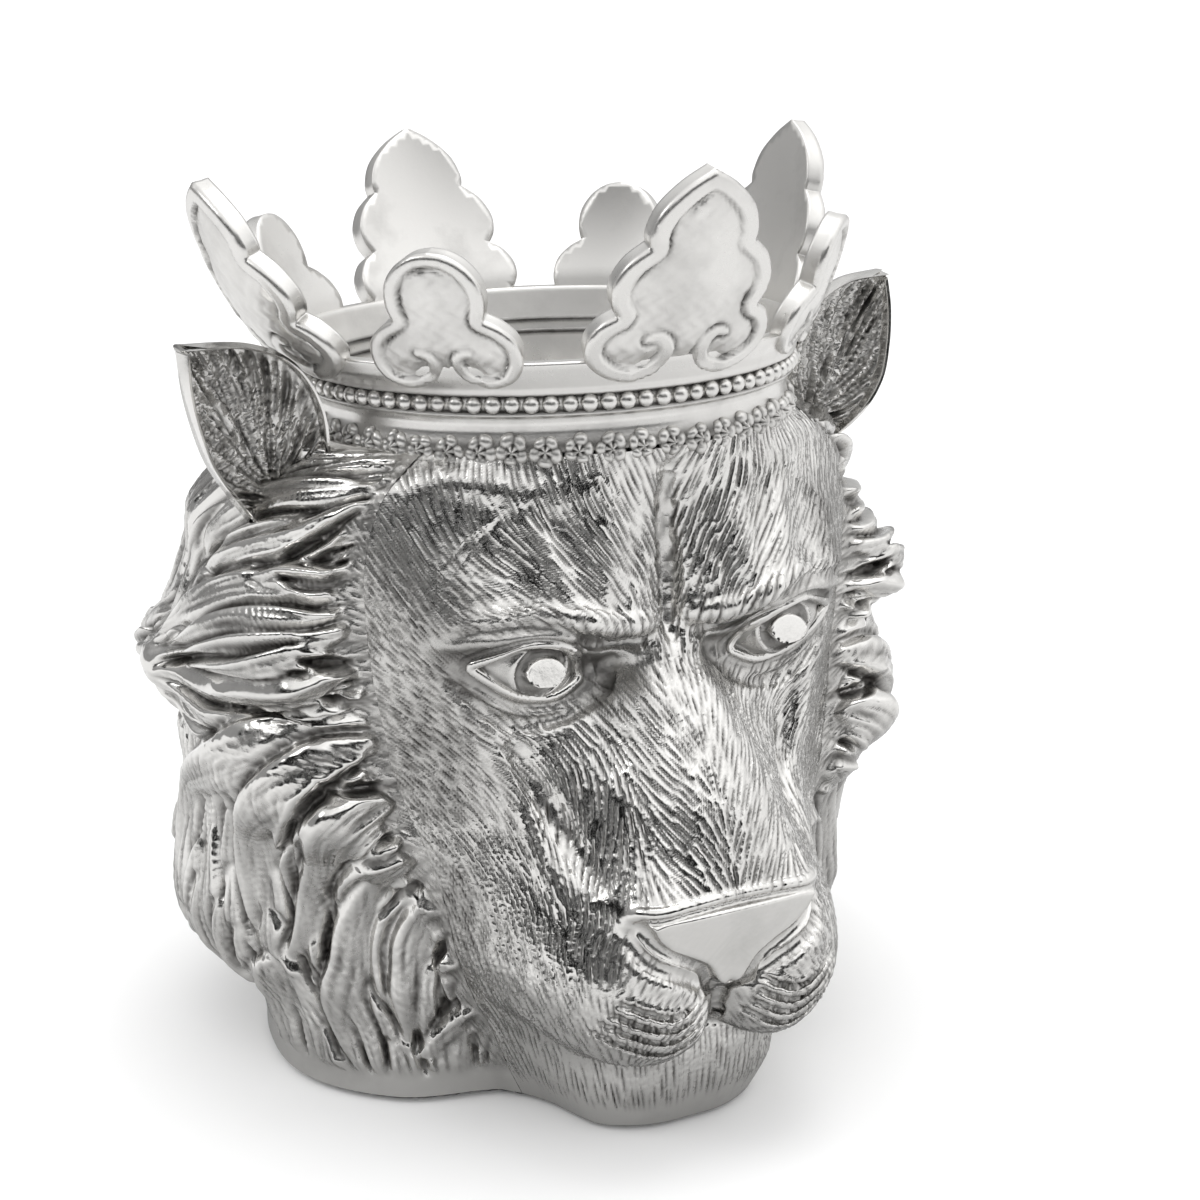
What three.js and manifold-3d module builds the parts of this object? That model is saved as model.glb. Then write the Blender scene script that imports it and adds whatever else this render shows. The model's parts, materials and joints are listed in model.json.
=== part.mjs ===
// Champagne bucket in the form of a crowned lion's head: plated aluminium castings round a lift-out liner.
// Millimetres, +Z up. The lion looks along -Y, so its right side is at -X.
// The origin is on the bucket's upright axis, on the underside of the felt sheet it stands on.
import * as THREE from "three";
import { mergeVertices } from "three/addons/utils/BufferGeometryUtils.js";
import Module from "manifold-3d";

const wasm = await Module();
wasm.setup();

// ---- Driving dimensions -------------------------------------------------------------------

const GAP = 0.3; // between pieces that touch
const WALL = 6; // radial thickness of the head castings
const FELT = 2;
const PLATE = 4;
const EDGE_Z = FELT + GAP; // lower edge of the castings and underside of the base plate
const FLOOR_Z = EDGE_Z + PLATE + GAP; // where the liner and the screw bosses start
const HEAD_TOP = 208; // height of the crown's seat on the axis
const CROWN_TILT = THREE.MathUtils.degToRad(4); // the crown's front is raised by this much
const NECK_R = 70.5; // bore of the head's top opening, which takes the crown's spigot

// Horizontal sections through the head. Each radius is measured from the axis at one of the azimuths,
// counted in degrees from the nose round to the back, and the head is the same on both sides.
const AZIMUTHS = [0, 12, 24, 34, 45, 58, 68, 76, 90, 112, 140, 180];
const SECTIONS = [
  { z: 2, r: [92, 93, 89, 71, 67, 79, 95, 101, 103, 97, 88, 84] }, // foot of the chin and mane
  { z: 16, r: [97, 97, 92, 74, 70, 80, 97, 104, 107, 100, 92, 90] },
  { z: 30, r: [99, 101, 96, 82, 75, 82, 99, 108, 113, 112, 104, 100] }, // mouth line
  { z: 38, r: [106, 112, 110, 92, 79, 84, 101, 110, 117, 122, 115, 108] }, // lower edge of the lips
  { z: 50, r: [111, 116, 117, 100, 82, 86, 102, 111, 118, 125, 120, 114] },
  { z: 66, r: [114, 118, 115, 97, 83, 87, 101, 110, 116, 125, 122, 118] }, // fullest part of the muzzle
  { z: 84, r: [117, 121, 105, 89, 82, 87, 100, 109, 113, 121, 120, 118] }, // top edge of the nose pad
  { z: 98, r: [111, 111, 92, 84, 83, 88, 100, 110, 115, 122, 121, 119] },
  { z: 115, r: [105, 100, 87, 85, 86, 89, 102, 115, 122, 129, 124, 120] }, // bridge of the nose
  { z: 128, r: [96, 90, 85, 87, 90, 91, 104, 119, 126, 135, 126, 120] }, // widest lock of the mane
  { z: 146, r: [80, 78, 80, 87, 93, 94, 104, 118, 122, 126, 123, 118] }, // eyes
  { z: 160, r: [77, 80, 87, 93, 96, 97, 103, 112, 117, 119, 118, 115] }, // brows
  { z: 176, r: [73, 76, 82, 89, 96, 98, 102, 107, 112, 116, 115, 112] },
  { z: 192, r: [73, 75, 79, 85, 91, 95, 98, 101, 105, 108, 107, 104] }, // forehead
  { z: 208, r: [74, 74, 75, 77, 80, 83, 86, 88, 89, 88, 86, 84] }, // seat of the crown
];
// The seam between the face and the mane, as azimuths in degrees from the foot to the crown's seat.
const SEAM = [33, 36, 41, 47, 53, 59, 63, 64, 62, 60];

const ROWS = 17; // rows of facets up the head castings
const FACE_COLUMNS = 20;
const MANE_COLUMNS = 14;

const crown = {
  seatR: 74.5, // outer radius where it meets the head
  beadZ: 15,
  beadR: 77,
  rimZ: 34, // height of the rim between two points, above the seat
  rimR: 84,
  wall: 4.5,
  spigot: { depth: 8, play: 1, wall: 3 }, // the ring that drops into the head, loose enough for the tilt
  tall: { width: 58, height: 51, lobes: 3 }, // leaf-shaped points, along the rim and up the slope
  short: { width: 44, height: 30, lobes: 2 },
  flare: THREE.MathUtils.degToRad(24), // outward lean of the points
};

const liner = { footR: 52, mouthR: 61.5, lipR: 64, top: 192, wall: 2.2 };
const screw = {
  shankR: 1.9,
  headR: 3.8,
  headH: 1.6,
  length: 13,
  inFromSkin: 13, // from the castings' outside to the screw's axis
  azimuths: [-14, 14, -84, 84, -148, 148],
};
const FELT_INSET = 3; // from the castings' outside to the felt's edge
const PLATE_INSET = WALL + 2.5; // and to the base plate's, which lies inside the castings
const NECK_START = 18; // the castings' inside closes to the neck's bore between these heights
const NECK_END = 10; // below the crown's seat
const boss = { radius: 8, height: 17, holeR: 2.2 };

// ---- Small tools --------------------------------------------------------------------------

const { clamp, lerp, smoothstep, degToRad } = THREE.MathUtils;

// Smooth curve through values at given places (Catmull-Rom), held flat past both ends.
function through(places, values, at) {
  const last = places.length - 1;
  const x = clamp(at, places[0], places[last]);
  let i = 0;
  while (i < last - 1 && x > places[i + 1]) i++;
  const t = (x - places[i]) / (places[i + 1] - places[i]);
  const [a, b, c, d] = [i - 1, i, i + 1, i + 2].map((k) => values[clamp(k, 0, last)]);
  return b + 0.5 * t * (c - a + t * (2 * a - 5 * b + 4 * c - d + t * (3 * (b - c) + d - a)));
}

// Radius of the head's outer surface at an azimuth in degrees and a height.
function headRadius(azimuth, z) {
  const turn = Math.abs(azimuth);
  const column = SECTIONS.map((s) => through(AZIMUTHS, s.r, turn));
  return through(SECTIONS.map((s) => s.z), column, z);
}

function polar(azimuth, radius, z) {
  const a = degToRad(azimuth);
  return new THREE.Vector3(radius * Math.sin(a), -radius * Math.cos(a), z);
}

// Height of the tilted seat plane at a point of the given azimuth and radius.
const seatHeight = (azimuth, radius) =>
  HEAD_TOP + Math.tan(CROWN_TILT) * radius * Math.cos(degToRad(azimuth));

// A closed slab between two grids of points that have the same rows and columns: outer[row][column].
function slab(outer, inner) {
  const rows = outer.length;
  const columns = outer[0].length;
  const positions = [...outer.flat(), ...inner.flat()].flatMap((p) => [p.x, p.y, p.z]);
  const index = [];
  const back = rows * columns;
  const quad = (a, b, c, d) => index.push(a, b, c, a, c, d);
  const at = (row, column) => row * columns + column;
  for (let r = 0; r < rows - 1; r++) {
    for (let c = 0; c < columns - 1; c++) {
      const corners = [at(r, c), at(r, c + 1), at(r + 1, c + 1), at(r + 1, c)];
      quad(...corners);
      quad(...corners.map((k) => k + back).reverse());
    }
  }
  for (let c = 0; c < columns - 1; c++) {
    quad(at(0, c) + back, at(0, c + 1) + back, at(0, c + 1), at(0, c));
    quad(at(rows - 1, c), at(rows - 1, c + 1), at(rows - 1, c + 1) + back, at(rows - 1, c) + back);
  }
  for (let r = 0; r < rows - 1; r++) {
    quad(at(r, 0), at(r + 1, 0), at(r + 1, 0) + back, at(r, 0) + back);
    const end = columns - 1;
    quad(at(r, end) + back, at(r + 1, end) + back, at(r + 1, end), at(r, end));
  }
  const geometry = new THREE.BufferGeometry();
  geometry.setAttribute("position", new THREE.Float32BufferAttribute(positions, 3));
  geometry.setIndex(index);
  return geometry;
}

function toSolid(geometry) {
  const bare = geometry.clone();
  bare.deleteAttribute("normal");
  bare.deleteAttribute("uv");
  const merged = mergeVertices(bare, 1e-4);
  return new wasm.Manifold(
    new wasm.Mesh({
      numProp: 3,
      vertProperties: merged.attributes.position.array,
      triVerts: new Uint32Array(merged.index.array),
    }),
  );
}

function toGeometry(solid) {
  const mesh = solid.getMesh();
  const geometry = new THREE.BufferGeometry();
  geometry.setAttribute("position", new THREE.BufferAttribute(mesh.vertProperties, 3));
  geometry.setIndex(new THREE.BufferAttribute(mesh.triVerts, 1));
  return geometry;
}

// An upright cylinder standing on a height.
function post(radius, height, azimuth, distance, foot, sides = 16) {
  const geometry = new THREE.CylinderGeometry(radius, radius, height, sides).rotateX(Math.PI / 2);
  return geometry.translate(...polar(azimuth, distance, foot + height / 2));
}

// A solid turned about Z from (radius, height) points of its closed outline, listed anticlockwise.
function turned(points, sides) {
  const closed = [...points, points[0]].map(([r, z]) => new THREE.Vector2(r, z));
  return new THREE.LatheGeometry(closed, sides).rotateX(Math.PI / 2);
}

// ---- Head castings ------------------------------------------------------------------------

// Inside of the castings: one wall thickness in, closing to the neck's bore under the crown.
function innerRadius(azimuth, z, top) {
  const plain = headRadius(azimuth, z) - WALL;
  return lerp(plain, NECK_R, smoothstep(z, top - NECK_START, top - NECK_END));
}

// One casting between two seams. azimuthAt(across, up) gives the azimuth for shares 0 to 1 of the grid.
function headShell(columns, azimuthAt) {
  const outer = [];
  const inner = [];
  for (let row = 0; row <= ROWS; row++) {
    const up = row / ROWS;
    const outerRow = [];
    const innerRow = [];
    for (let column = 0; column <= columns; column++) {
      const azimuth = azimuthAt(column / columns, up);
      const rimR = headRadius(azimuth, HEAD_TOP);
      const outerTop = seatHeight(azimuth, rimR);
      const z = lerp(EDGE_Z, outerTop, up);
      outerRow.push(polar(azimuth, headRadius(azimuth, z), z));
      const innerTop = seatHeight(azimuth, NECK_R);
      const innerZ = lerp(EDGE_Z, innerTop, up);
      innerRow.push(polar(azimuth, innerRadius(azimuth, innerZ, innerTop), innerZ));
    }
    outer.push(outerRow);
    inner.push(innerRow);
  }
  return slab(outer, inner);
}

const seamAt = (up) => through(SEAM.map((_, i) => i / (SEAM.length - 1)), SEAM, up);
const HALF_GAP = 0.14; // degrees: about half of GAP at the head's radius

const faceAzimuth = (across, up) => lerp(-seamAt(up) + HALF_GAP, seamAt(up) - HALF_GAP, across);
const leftAzimuth = (across, up) => lerp(seamAt(up) + HALF_GAP, 180 - HALF_GAP, across);
const rightAzimuth = (across, up) => -leftAzimuth(1 - across, up);

// Bosses inside a casting's foot, each with a blind hole for a base screw.
function withBosses(geometry, azimuths) {
  let solid = toSolid(geometry);
  for (const azimuth of azimuths) {
    const distance = screwDistance(azimuth);
    solid = solid.add(toSolid(post(boss.radius, boss.height, azimuth, distance, FLOOR_Z)));
    const hole = post(boss.holeR, boss.height, azimuth, distance, FLOOR_Z - WALL / 2, 12);
    solid = solid.subtract(toSolid(hole));
  }
  return toGeometry(solid);
}

function screwDistance(azimuth) {
  return headRadius(azimuth, FLOOR_Z) - screw.inFromSkin;
}

// ---- Crown --------------------------------------------------------------------------------

// Half-width of a leaf-shaped point as a share, at a share of its height: stepped lobes under a pointed tip.
function leafHalfWidth(share, lobes) {
  const taper = Math.pow(1 - share, 0.62) * (1 - 0.12 * share);
  const scallop = 0.09 * Math.abs(Math.sin(Math.PI * lobes * share)) * (1 - share);
  return clamp(taper * 0.94 + scallop, 0.02, 1);
}

// Outer radius of the crown at a height above its seat.
function crownRadius(z) {
  if (z < crown.beadZ) return lerp(crown.seatR, crown.beadR, z / crown.beadZ);
  if (z < crown.rimZ) {
    const share = (z - crown.beadZ) / (crown.rimZ - crown.beadZ);
    return lerp(crown.beadR, crown.rimR, share * share * 0.4 + share * 0.6);
  }
  return crown.rimR + Math.tan(crown.flare) * (z - crown.rimZ);
}

// One point of the crown, standing on the rim at an azimuth and rooted inside the band.
function crownPoint(azimuth, { width, height, lobes }) {
  const columns = 4;
  const rows = 7;
  const root = 6;
  const outer = [];
  const inner = [];
  for (let row = 0; row <= rows; row++) {
    const up = lerp(-root, height, row / rows);
    const half = (width / 2) * leafHalfWidth(clamp(up / height, 0, 1), lobes);
    const z = crown.rimZ + up * Math.cos(crown.flare);
    const place = (column, inset) => {
      const along = lerp(-half, half, column / columns);
      return polar(azimuth + THREE.MathUtils.radToDeg(along / crown.rimR), crownRadius(z) - inset, z);
    };
    outer.push(Array.from({ length: columns + 1 }, (_, c) => place(c, 0.2)));
    inner.push(Array.from({ length: columns + 1 }, (_, c) => place(c, crown.wall - 0.2)));
  }
  return slab(outer, inner);
}

function crownGeometry() {
  const innerR = (z) => crownRadius(z) - crown.wall;
  const heights = [GAP, crown.beadZ - 2, crown.beadZ, crown.beadZ + 2, crown.rimZ];
  const outside = heights.map((z) => [crownRadius(z) + (z === crown.beadZ ? 1.4 : 0), z]);
  const inside = [crown.rimZ, crown.beadZ, 2 * GAP].map((z) => [innerR(z), z]);
  const spigotR = NECK_R - crown.spigot.play;
  const spigot = [
    [spigotR - crown.spigot.wall, -crown.spigot.depth],
    [spigotR, -crown.spigot.depth],
    [spigotR, GAP],
  ];
  let solid = toSolid(turned([...outside, ...inside, ...spigot], 48));
  for (let i = 0; i < 4; i++) {
    solid = solid.add(toSolid(crownPoint(i * 90, crown.tall)));
    solid = solid.add(toSolid(crownPoint(i * 90 + 45, crown.short)));
  }
  return toGeometry(solid);
}

// ---- Ears ---------------------------------------------------------------------------------

// Outline of the left ear from the front as [x, z], from its root up the inner edge and round the tip.
const EAR_OUTLINE = [
  [84, 198], [86, 214], [92, 228], [105, 238],
  [124, 241], [122, 222], [114, 204], [99, 194],
];
const ear = { y: -12, cup: 9, back: 17, middle: [101, 212], rim: 1.5 };

// A cupped leaf: the front is hollow and the back full, and both run out to the rim.
function earGeometry() {
  const outline = new THREE.SplineCurve(EAR_OUTLINE.map(([x, z]) => new THREE.Vector2(x, z)).concat(
    new THREE.Vector2(...EAR_OUTLINE[0]),
  ));
  const around = 20;
  const rings = [0.4, 0.75, 1];
  const middle = new THREE.Vector2(...ear.middle);
  const positions = [];
  const index = [];
  const sheet = (depthAt) => {
    const first = positions.length / 3;
    positions.push(middle.x, depthAt(0), middle.y);
    for (const share of rings) {
      for (let i = 0; i < around; i++) {
        const p = outline.getPoint(i / around).sub(middle).multiplyScalar(share).add(middle);
        positions.push(p.x, depthAt(share), p.y);
      }
    }
    return first;
  };
  const front = sheet((share) => ear.y - ear.rim + ear.cup * (1 - share * share));
  const back = sheet((share) => ear.y + ear.rim + ear.back * Math.sqrt(1 - share * share * share));
  const side = (first, flip) => {
    const face = (a, b, c) => (flip ? index.push(a, c, b) : index.push(a, b, c));
    const at = (ring, i) => first + 1 + ring * around + (i % around);
    for (let i = 0; i < around; i++) {
      face(first, at(0, i), at(0, i + 1));
      for (let ring = 0; ring < rings.length - 1; ring++) {
        face(at(ring, i), at(ring + 1, i), at(ring + 1, i + 1));
        face(at(ring, i), at(ring + 1, i + 1), at(ring, i + 1));
      }
    }
  };
  side(front, true);
  side(back, false);
  const rim = (first, i) => first + 1 + (rings.length - 1) * around + (i % around);
  for (let i = 0; i < around; i++) {
    index.push(rim(front, i), rim(back, i + 1), rim(back, i));
    index.push(rim(front, i), rim(front, i + 1), rim(back, i + 1));
  }
  const geometry = new THREE.BufferGeometry();
  geometry.setAttribute("position", new THREE.Float32BufferAttribute(positions, 3));
  geometry.setIndex(index);
  return geometry;
}

// What the ears are cut by: the head a little larger, and everything inside the crown's flare.
function earCutters() {
  const sides = 72;
  const steps = 12;
  const low = 170;
  const clear = 2;
  const top = HEAD_TOP + clear;
  const ring = [];
  for (let row = 0; row <= steps; row++) {
    const z = lerp(low, top, row / steps);
    ring.push(Array.from({ length: sides }, (_, i) => {
      const azimuth = (360 * i) / sides - 180;
      return polar(azimuth, headRadius(azimuth, z) + clear, z);
    }));
  }
  const positions = [...ring.flat(), new THREE.Vector3(0, 0, low), new THREE.Vector3(0, 0, top)];
  const index = [];
  const at = (row, i) => row * sides + (i % sides);
  const bottom = (steps + 1) * sides;
  for (let i = 0; i < sides; i++) {
    for (let row = 0; row < steps; row++) {
      index.push(at(row, i), at(row, i + 1), at(row + 1, i + 1));
      index.push(at(row, i), at(row + 1, i + 1), at(row + 1, i));
    }
    index.push(bottom, at(0, i + 1), at(0, i), bottom + 1, at(steps, i), at(steps, i + 1));
  }
  const geometry = new THREE.BufferGeometry();
  const numbers = positions.flatMap((p) => [p.x, p.y, p.z]);
  geometry.setAttribute("position", new THREE.Float32BufferAttribute(numbers, 3));
  geometry.setIndex(index);
  const head = toSolid(geometry);
  const coneH = 60;
  const cone = new THREE.CylinderGeometry(crownRadius(coneH) + clear, crownRadius(0) + clear, coneH, sides);
  cone.rotateX(Math.PI / 2).translate(0, 0, coneH / 2).rotateX(-CROWN_TILT).translate(0, 0, HEAD_TOP);
  return head.add(toSolid(cone));
}

// ---- Liner, base and screws -----------------------------------------------------------------

// A spun cup with a tapered wall, a rounded foot and a rolled lip.
function linerGeometry() {
  const { footR, mouthR, lipR, top, wall } = liner;
  const corner = 9;
  const foot = [0, 30, 60, 90].map((turn) => {
    const a = degToRad(turn);
    return [footR - corner + corner * Math.sin(a), FLOOR_Z + corner - corner * Math.cos(a)];
  });
  const inner = corner - wall;
  const inside = [90, 45, 0].map((turn) => {
    const a = degToRad(turn);
    return [footR - corner + inner * Math.sin(a), FLOOR_Z + corner - inner * Math.cos(a)];
  });
  const outline = [
    [0, FLOOR_Z],
    ...foot,
    [mouthR, top - 4],
    [lipR, top - 3],
    [lipR, top - 1],
    [lipR - 1.5, top],
    [mouthR - wall, top - 1.5],
    ...inside,
    [0, FLOOR_Z + wall],
  ];
  return new THREE.LatheGeometry(outline.map(([r, z]) => new THREE.Vector2(r, z)), 36).rotateX(Math.PI / 2);
}

// A flat sheet whose outline follows the head's foot, moved in by an inset.
function footShape(inset) {
  const points = Array.from({ length: 72 }, (_, i) => {
    const azimuth = 5 * i - 180;
    const p = polar(azimuth, headRadius(azimuth, EDGE_Z) - inset, 0);
    return new THREE.Vector2(p.x, p.y);
  });
  return new THREE.Shape(points);
}

function basePlateGeometry() {
  const plate = new THREE.ExtrudeGeometry(footShape(PLATE_INSET), { depth: PLATE, bevelEnabled: false });
  let solid = toSolid(plate.translate(0, 0, EDGE_Z));
  for (const azimuth of screw.azimuths) {
    const distance = screwDistance(azimuth);
    const hole = post(screw.shankR + GAP, 3 * PLATE, azimuth, distance, -PLATE, 12);
    const sink = post(screw.headR + GAP, PLATE, azimuth, distance, EDGE_Z - PLATE / 2, 16);
    solid = solid.subtract(toSolid(hole)).subtract(toSolid(sink));
  }
  return toGeometry(solid);
}

// A pan-head screw standing head down, with a slot across its head.
function screwGeometry() {
  const { shankR, headR, headH, length } = screw;
  const outline = [[0, 0], [headR, 0], [headR, headH], [shankR, headH], [shankR, length], [0, length]];
  const body = turned(outline, 12);
  const slot = new THREE.BoxGeometry(3 * screw.headR, 1, 1.2);
  return toGeometry(toSolid(body).subtract(toSolid(slot)));
}

// ---- Materials and assembly -----------------------------------------------------------------

function material(color, roughness, metalness) {
  return new THREE.MeshStandardMaterial({ color, roughness, metalness });
}
const plated = material(0xc9c6c0, 0.24, 1);
const plain = material(0xb9b8b4, 0.42, 1);
const steel = material(0x9b9b9d, 0.35, 1);
const baize = material(0x1b1b1d, 0.95, 0);

const bucket = new THREE.Group();
function place(name, geometry, finish, parent = bucket) {
  const mesh = new THREE.Mesh(geometry, finish);
  mesh.name = name;
  parent.add(mesh);
  return mesh;
}

const [faceScrews, leftScrews, rightScrews] = [[-14, 14], [84, 148], [-148, -84]];
place("face_casting", withBosses(headShell(FACE_COLUMNS, faceAzimuth), faceScrews), plated);
place("mane_casting_left", withBosses(headShell(MANE_COLUMNS, leftAzimuth), leftScrews), plated);
place("mane_casting_right", withBosses(headShell(MANE_COLUMNS, rightAzimuth), rightScrews), plated);

const leftEar = toSolid(earGeometry()).subtract(earCutters());
place("ear_left", toGeometry(leftEar), plated);
place("ear_right", toGeometry(leftEar.mirror([1, 0, 0])), plated);

const crownSeat = new THREE.Group();
crownSeat.position.z = HEAD_TOP;
crownSeat.rotation.x = -CROWN_TILT;
bucket.add(crownSeat);
place("crown", crownGeometry(), plated, crownSeat);

place("liner", linerGeometry(), plain);
place("base_plate", basePlateGeometry(), plain);
const felt = new THREE.ExtrudeGeometry(footShape(FELT_INSET), { depth: FELT, bevelEnabled: false });
place("felt_sheet", felt, baize);
screw.azimuths.forEach((azimuth, i) => {
  const body = place(`base_screw_${i + 1}`, screwGeometry(), steel);
  body.position.copy(polar(azimuth, screwDistance(azimuth), EDGE_Z + 0.2));
});

export default bucket;
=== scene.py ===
import json
import math

import bpy
import numpy as np
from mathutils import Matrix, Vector
from mathutils.geometry import delaunay_2d_cdt

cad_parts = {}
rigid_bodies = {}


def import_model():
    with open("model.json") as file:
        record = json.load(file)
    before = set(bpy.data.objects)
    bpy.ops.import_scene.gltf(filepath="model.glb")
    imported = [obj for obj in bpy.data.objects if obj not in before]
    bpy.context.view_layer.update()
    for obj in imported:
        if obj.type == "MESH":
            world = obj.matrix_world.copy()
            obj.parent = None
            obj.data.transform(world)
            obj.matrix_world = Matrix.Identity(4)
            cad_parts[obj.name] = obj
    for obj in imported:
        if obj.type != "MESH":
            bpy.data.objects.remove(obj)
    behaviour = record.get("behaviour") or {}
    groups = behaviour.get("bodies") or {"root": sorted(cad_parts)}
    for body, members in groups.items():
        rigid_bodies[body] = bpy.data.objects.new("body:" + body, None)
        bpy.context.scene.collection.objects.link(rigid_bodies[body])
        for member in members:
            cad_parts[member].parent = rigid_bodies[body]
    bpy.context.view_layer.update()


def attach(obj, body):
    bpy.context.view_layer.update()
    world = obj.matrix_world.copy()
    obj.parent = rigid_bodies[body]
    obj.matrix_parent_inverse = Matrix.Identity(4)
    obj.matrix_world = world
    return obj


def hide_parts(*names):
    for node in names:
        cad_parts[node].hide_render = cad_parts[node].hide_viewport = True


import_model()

MM = 0.001
draws = np.random.default_rng(11)


# ---- Numbers ------------------------------------------------------------------------------

def smooth(low, high, x):
    t = np.clip((x - low) / (high - low), 0, 1)
    return t * t * (3 - 2 * t)


def bell(x, width):
    return np.exp(-((x / width) ** 2))


def flow_through(values, at):
    """Smooth curve (Catmull-Rom) through values[0], values[1], ... at fractional positions."""
    v = np.asarray(values, float)
    last = len(v) - 1
    at = np.clip(np.asarray(at, float), 0, last)
    i = np.minimum(at.astype(int), last - 1)
    t = (at - i).reshape(at.shape + (1,) * (v.ndim - 1))
    a, b, c, d = (v[np.clip(i + k, 0, last)] for k in (-1, 0, 1, 2))
    return b + 0.5 * t * (c - a + t * (2 * a - 5 * b + 4 * c - d + t * (3 * (b - c) + d - a)))


def curve(points, count=40):
    return flow_through(points, np.linspace(0, len(points) - 1, count))


def unit(v):
    return v / np.maximum(np.linalg.norm(v, axis=-1, keepdims=True), 1e-9)


def spread(lines, count):
    """Points at even distances along each line of an array of lines."""
    step = np.linalg.norm(np.diff(lines, axis=1), axis=2)
    length = np.concatenate([np.zeros((len(lines), 1)), np.cumsum(step, 1)], 1)
    want = np.linspace(0, 1, count)
    out = np.empty((len(lines), count, lines.shape[2]))
    for k, line in enumerate(lines):
        share = length[k] / length[k, -1]
        for axis in range(lines.shape[2]):
            out[k, :, axis] = np.interp(want, share, line[:, axis])
    return out


def even_grid(surface, spacing):
    """A grid over the same surface, its points about a spacing apart both ways."""
    rows = int(np.linalg.norm(np.diff(surface, axis=0), axis=2).sum(0).mean() / spacing)
    columns = int(np.linalg.norm(np.diff(surface, axis=1), axis=2).sum(1).mean() / spacing)
    upright = spread(surface.transpose(1, 0, 2), rows).transpose(1, 0, 2)
    return spread(upright, columns)


def grid_normals(points):
    across = np.gradient(points, axis=1)
    up = np.gradient(points, axis=0)
    return unit(np.cross(across, up))


def blur(values, times=1):
    """Softens a grid of numbers by averaging neighbours."""
    v = values
    for _ in range(times):
        p = np.pad(v, ((1, 1), (0, 0)), mode="edge")
        v = 0.25 * p[:-2] + 0.5 * p[1:-1] + 0.25 * p[2:]
        p = np.pad(v, ((0, 0), (1, 1)), mode="edge")
        v = 0.25 * p[:, :-2] + 0.5 * p[:, 1:-1] + 0.25 * p[:, 2:]
    return v


def to_path(points, path):
    """For each point: its distance to a path, the share along it, and the side of it (2-D only)."""
    best = np.full(len(points), 1e9)
    share = np.zeros(len(points))
    side = np.zeros(len(points))
    lengths = np.linalg.norm(np.diff(path, axis=0), axis=1)
    starts = np.concatenate([[0], np.cumsum(lengths)])
    for k in range(len(path) - 1):
        leg = path[k + 1] - path[k]
        t = np.clip((points - path[k]) @ leg / max(leg @ leg, 1e-9), 0, 1)
        off = points - path[k] - t[:, None] * leg
        gap = np.linalg.norm(off, axis=1)
        near = gap < best
        best[near] = gap[near]
        share[near] = (starts[k] + t[near] * lengths[k]) / starts[-1]
        if path.shape[1] == 2:
            side[near] = np.sign(leg[0] * off[near, 1] - leg[1] * off[near, 0])
    return best, share, side


# ---- Sculpted sheets ------------------------------------------------------------------------

class Sheet:
    """A grid of surface points with a relief that is added along the normals."""

    def __init__(self, points):
        self.base = points
        self.rows, self.columns = points.shape[:2]
        self.normal = grid_normals(points)
        self.relief = np.zeros((self.rows, self.columns))
        self.cut = np.zeros((self.rows, self.columns))
        across = np.gradient(points, axis=1)
        up = np.gradient(points, axis=0)
        self.across_mm = np.linalg.norm(across, axis=2)
        self.up_mm = np.linalg.norm(up, axis=2)
        self.across = across / np.maximum(self.across_mm, 1e-6)[..., None]
        self.up = up / np.maximum(self.up_mm, 1e-6)[..., None]

    def nearest(self, where, weights):
        """Row and column of the grid point nearest to where, by weighted coordinates."""
        gap = ((self.base - where) ** 2 * weights).sum(2)
        return np.unravel_index(np.argmin(gap), gap.shape)

    def lift(self, path_xz):
        """Points of the surface seen from the front at each (x, z)."""
        out = []
        for x, z in path_xz:
            spot = self.nearest(np.array([x, -120.0, z]), np.array([1, 0.004, 1]))
            out.append(self.base[spot])
        return np.array(out)

    def stroke(self, path, profile, reach):
        """Adds profile(distance, share) to the relief round a path of surface points."""
        low, high = path.min(0) - reach, path.max(0) + reach
        inside = ((self.base > low) & (self.base < high)).all(2)
        spots = np.nonzero(inside)
        gap, share, _ = to_path(self.base[spots], path)
        self.relief[spots] += profile(gap, share) * (gap < reach)

    def groove(self, path_xz, width, depth, lip=0.0, both=True):
        """A tapered groove along a path seen from the front, on both sides of the face."""
        for side in (1, -1) if both else (1,):
            path = self.lift(curve(np.array(path_xz, float) * [side, 1]))

            def profile(gap, share):
                taper = np.sin(math.pi * np.clip(share, 0.02, 0.98)) ** 0.4
                return taper * (lip * bell(gap - 1.9 * width, width) - depth * bell(gap, width))

            self.stroke(path, profile, 4 * width)

    def finish(self):
        return self.base + self.normal * self.relief[..., None]


def hair_field(sheet, direction):
    """Steps in columns and rows that go one millimetre along a direction, projected on the sheet."""
    a = (direction * sheet.across).sum(2)
    b = (direction * sheet.up).sum(2)
    size = np.maximum(np.hypot(a, b), 1e-6)
    return a / size / sheet.across_mm, b / size / sheet.up_mm


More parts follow.
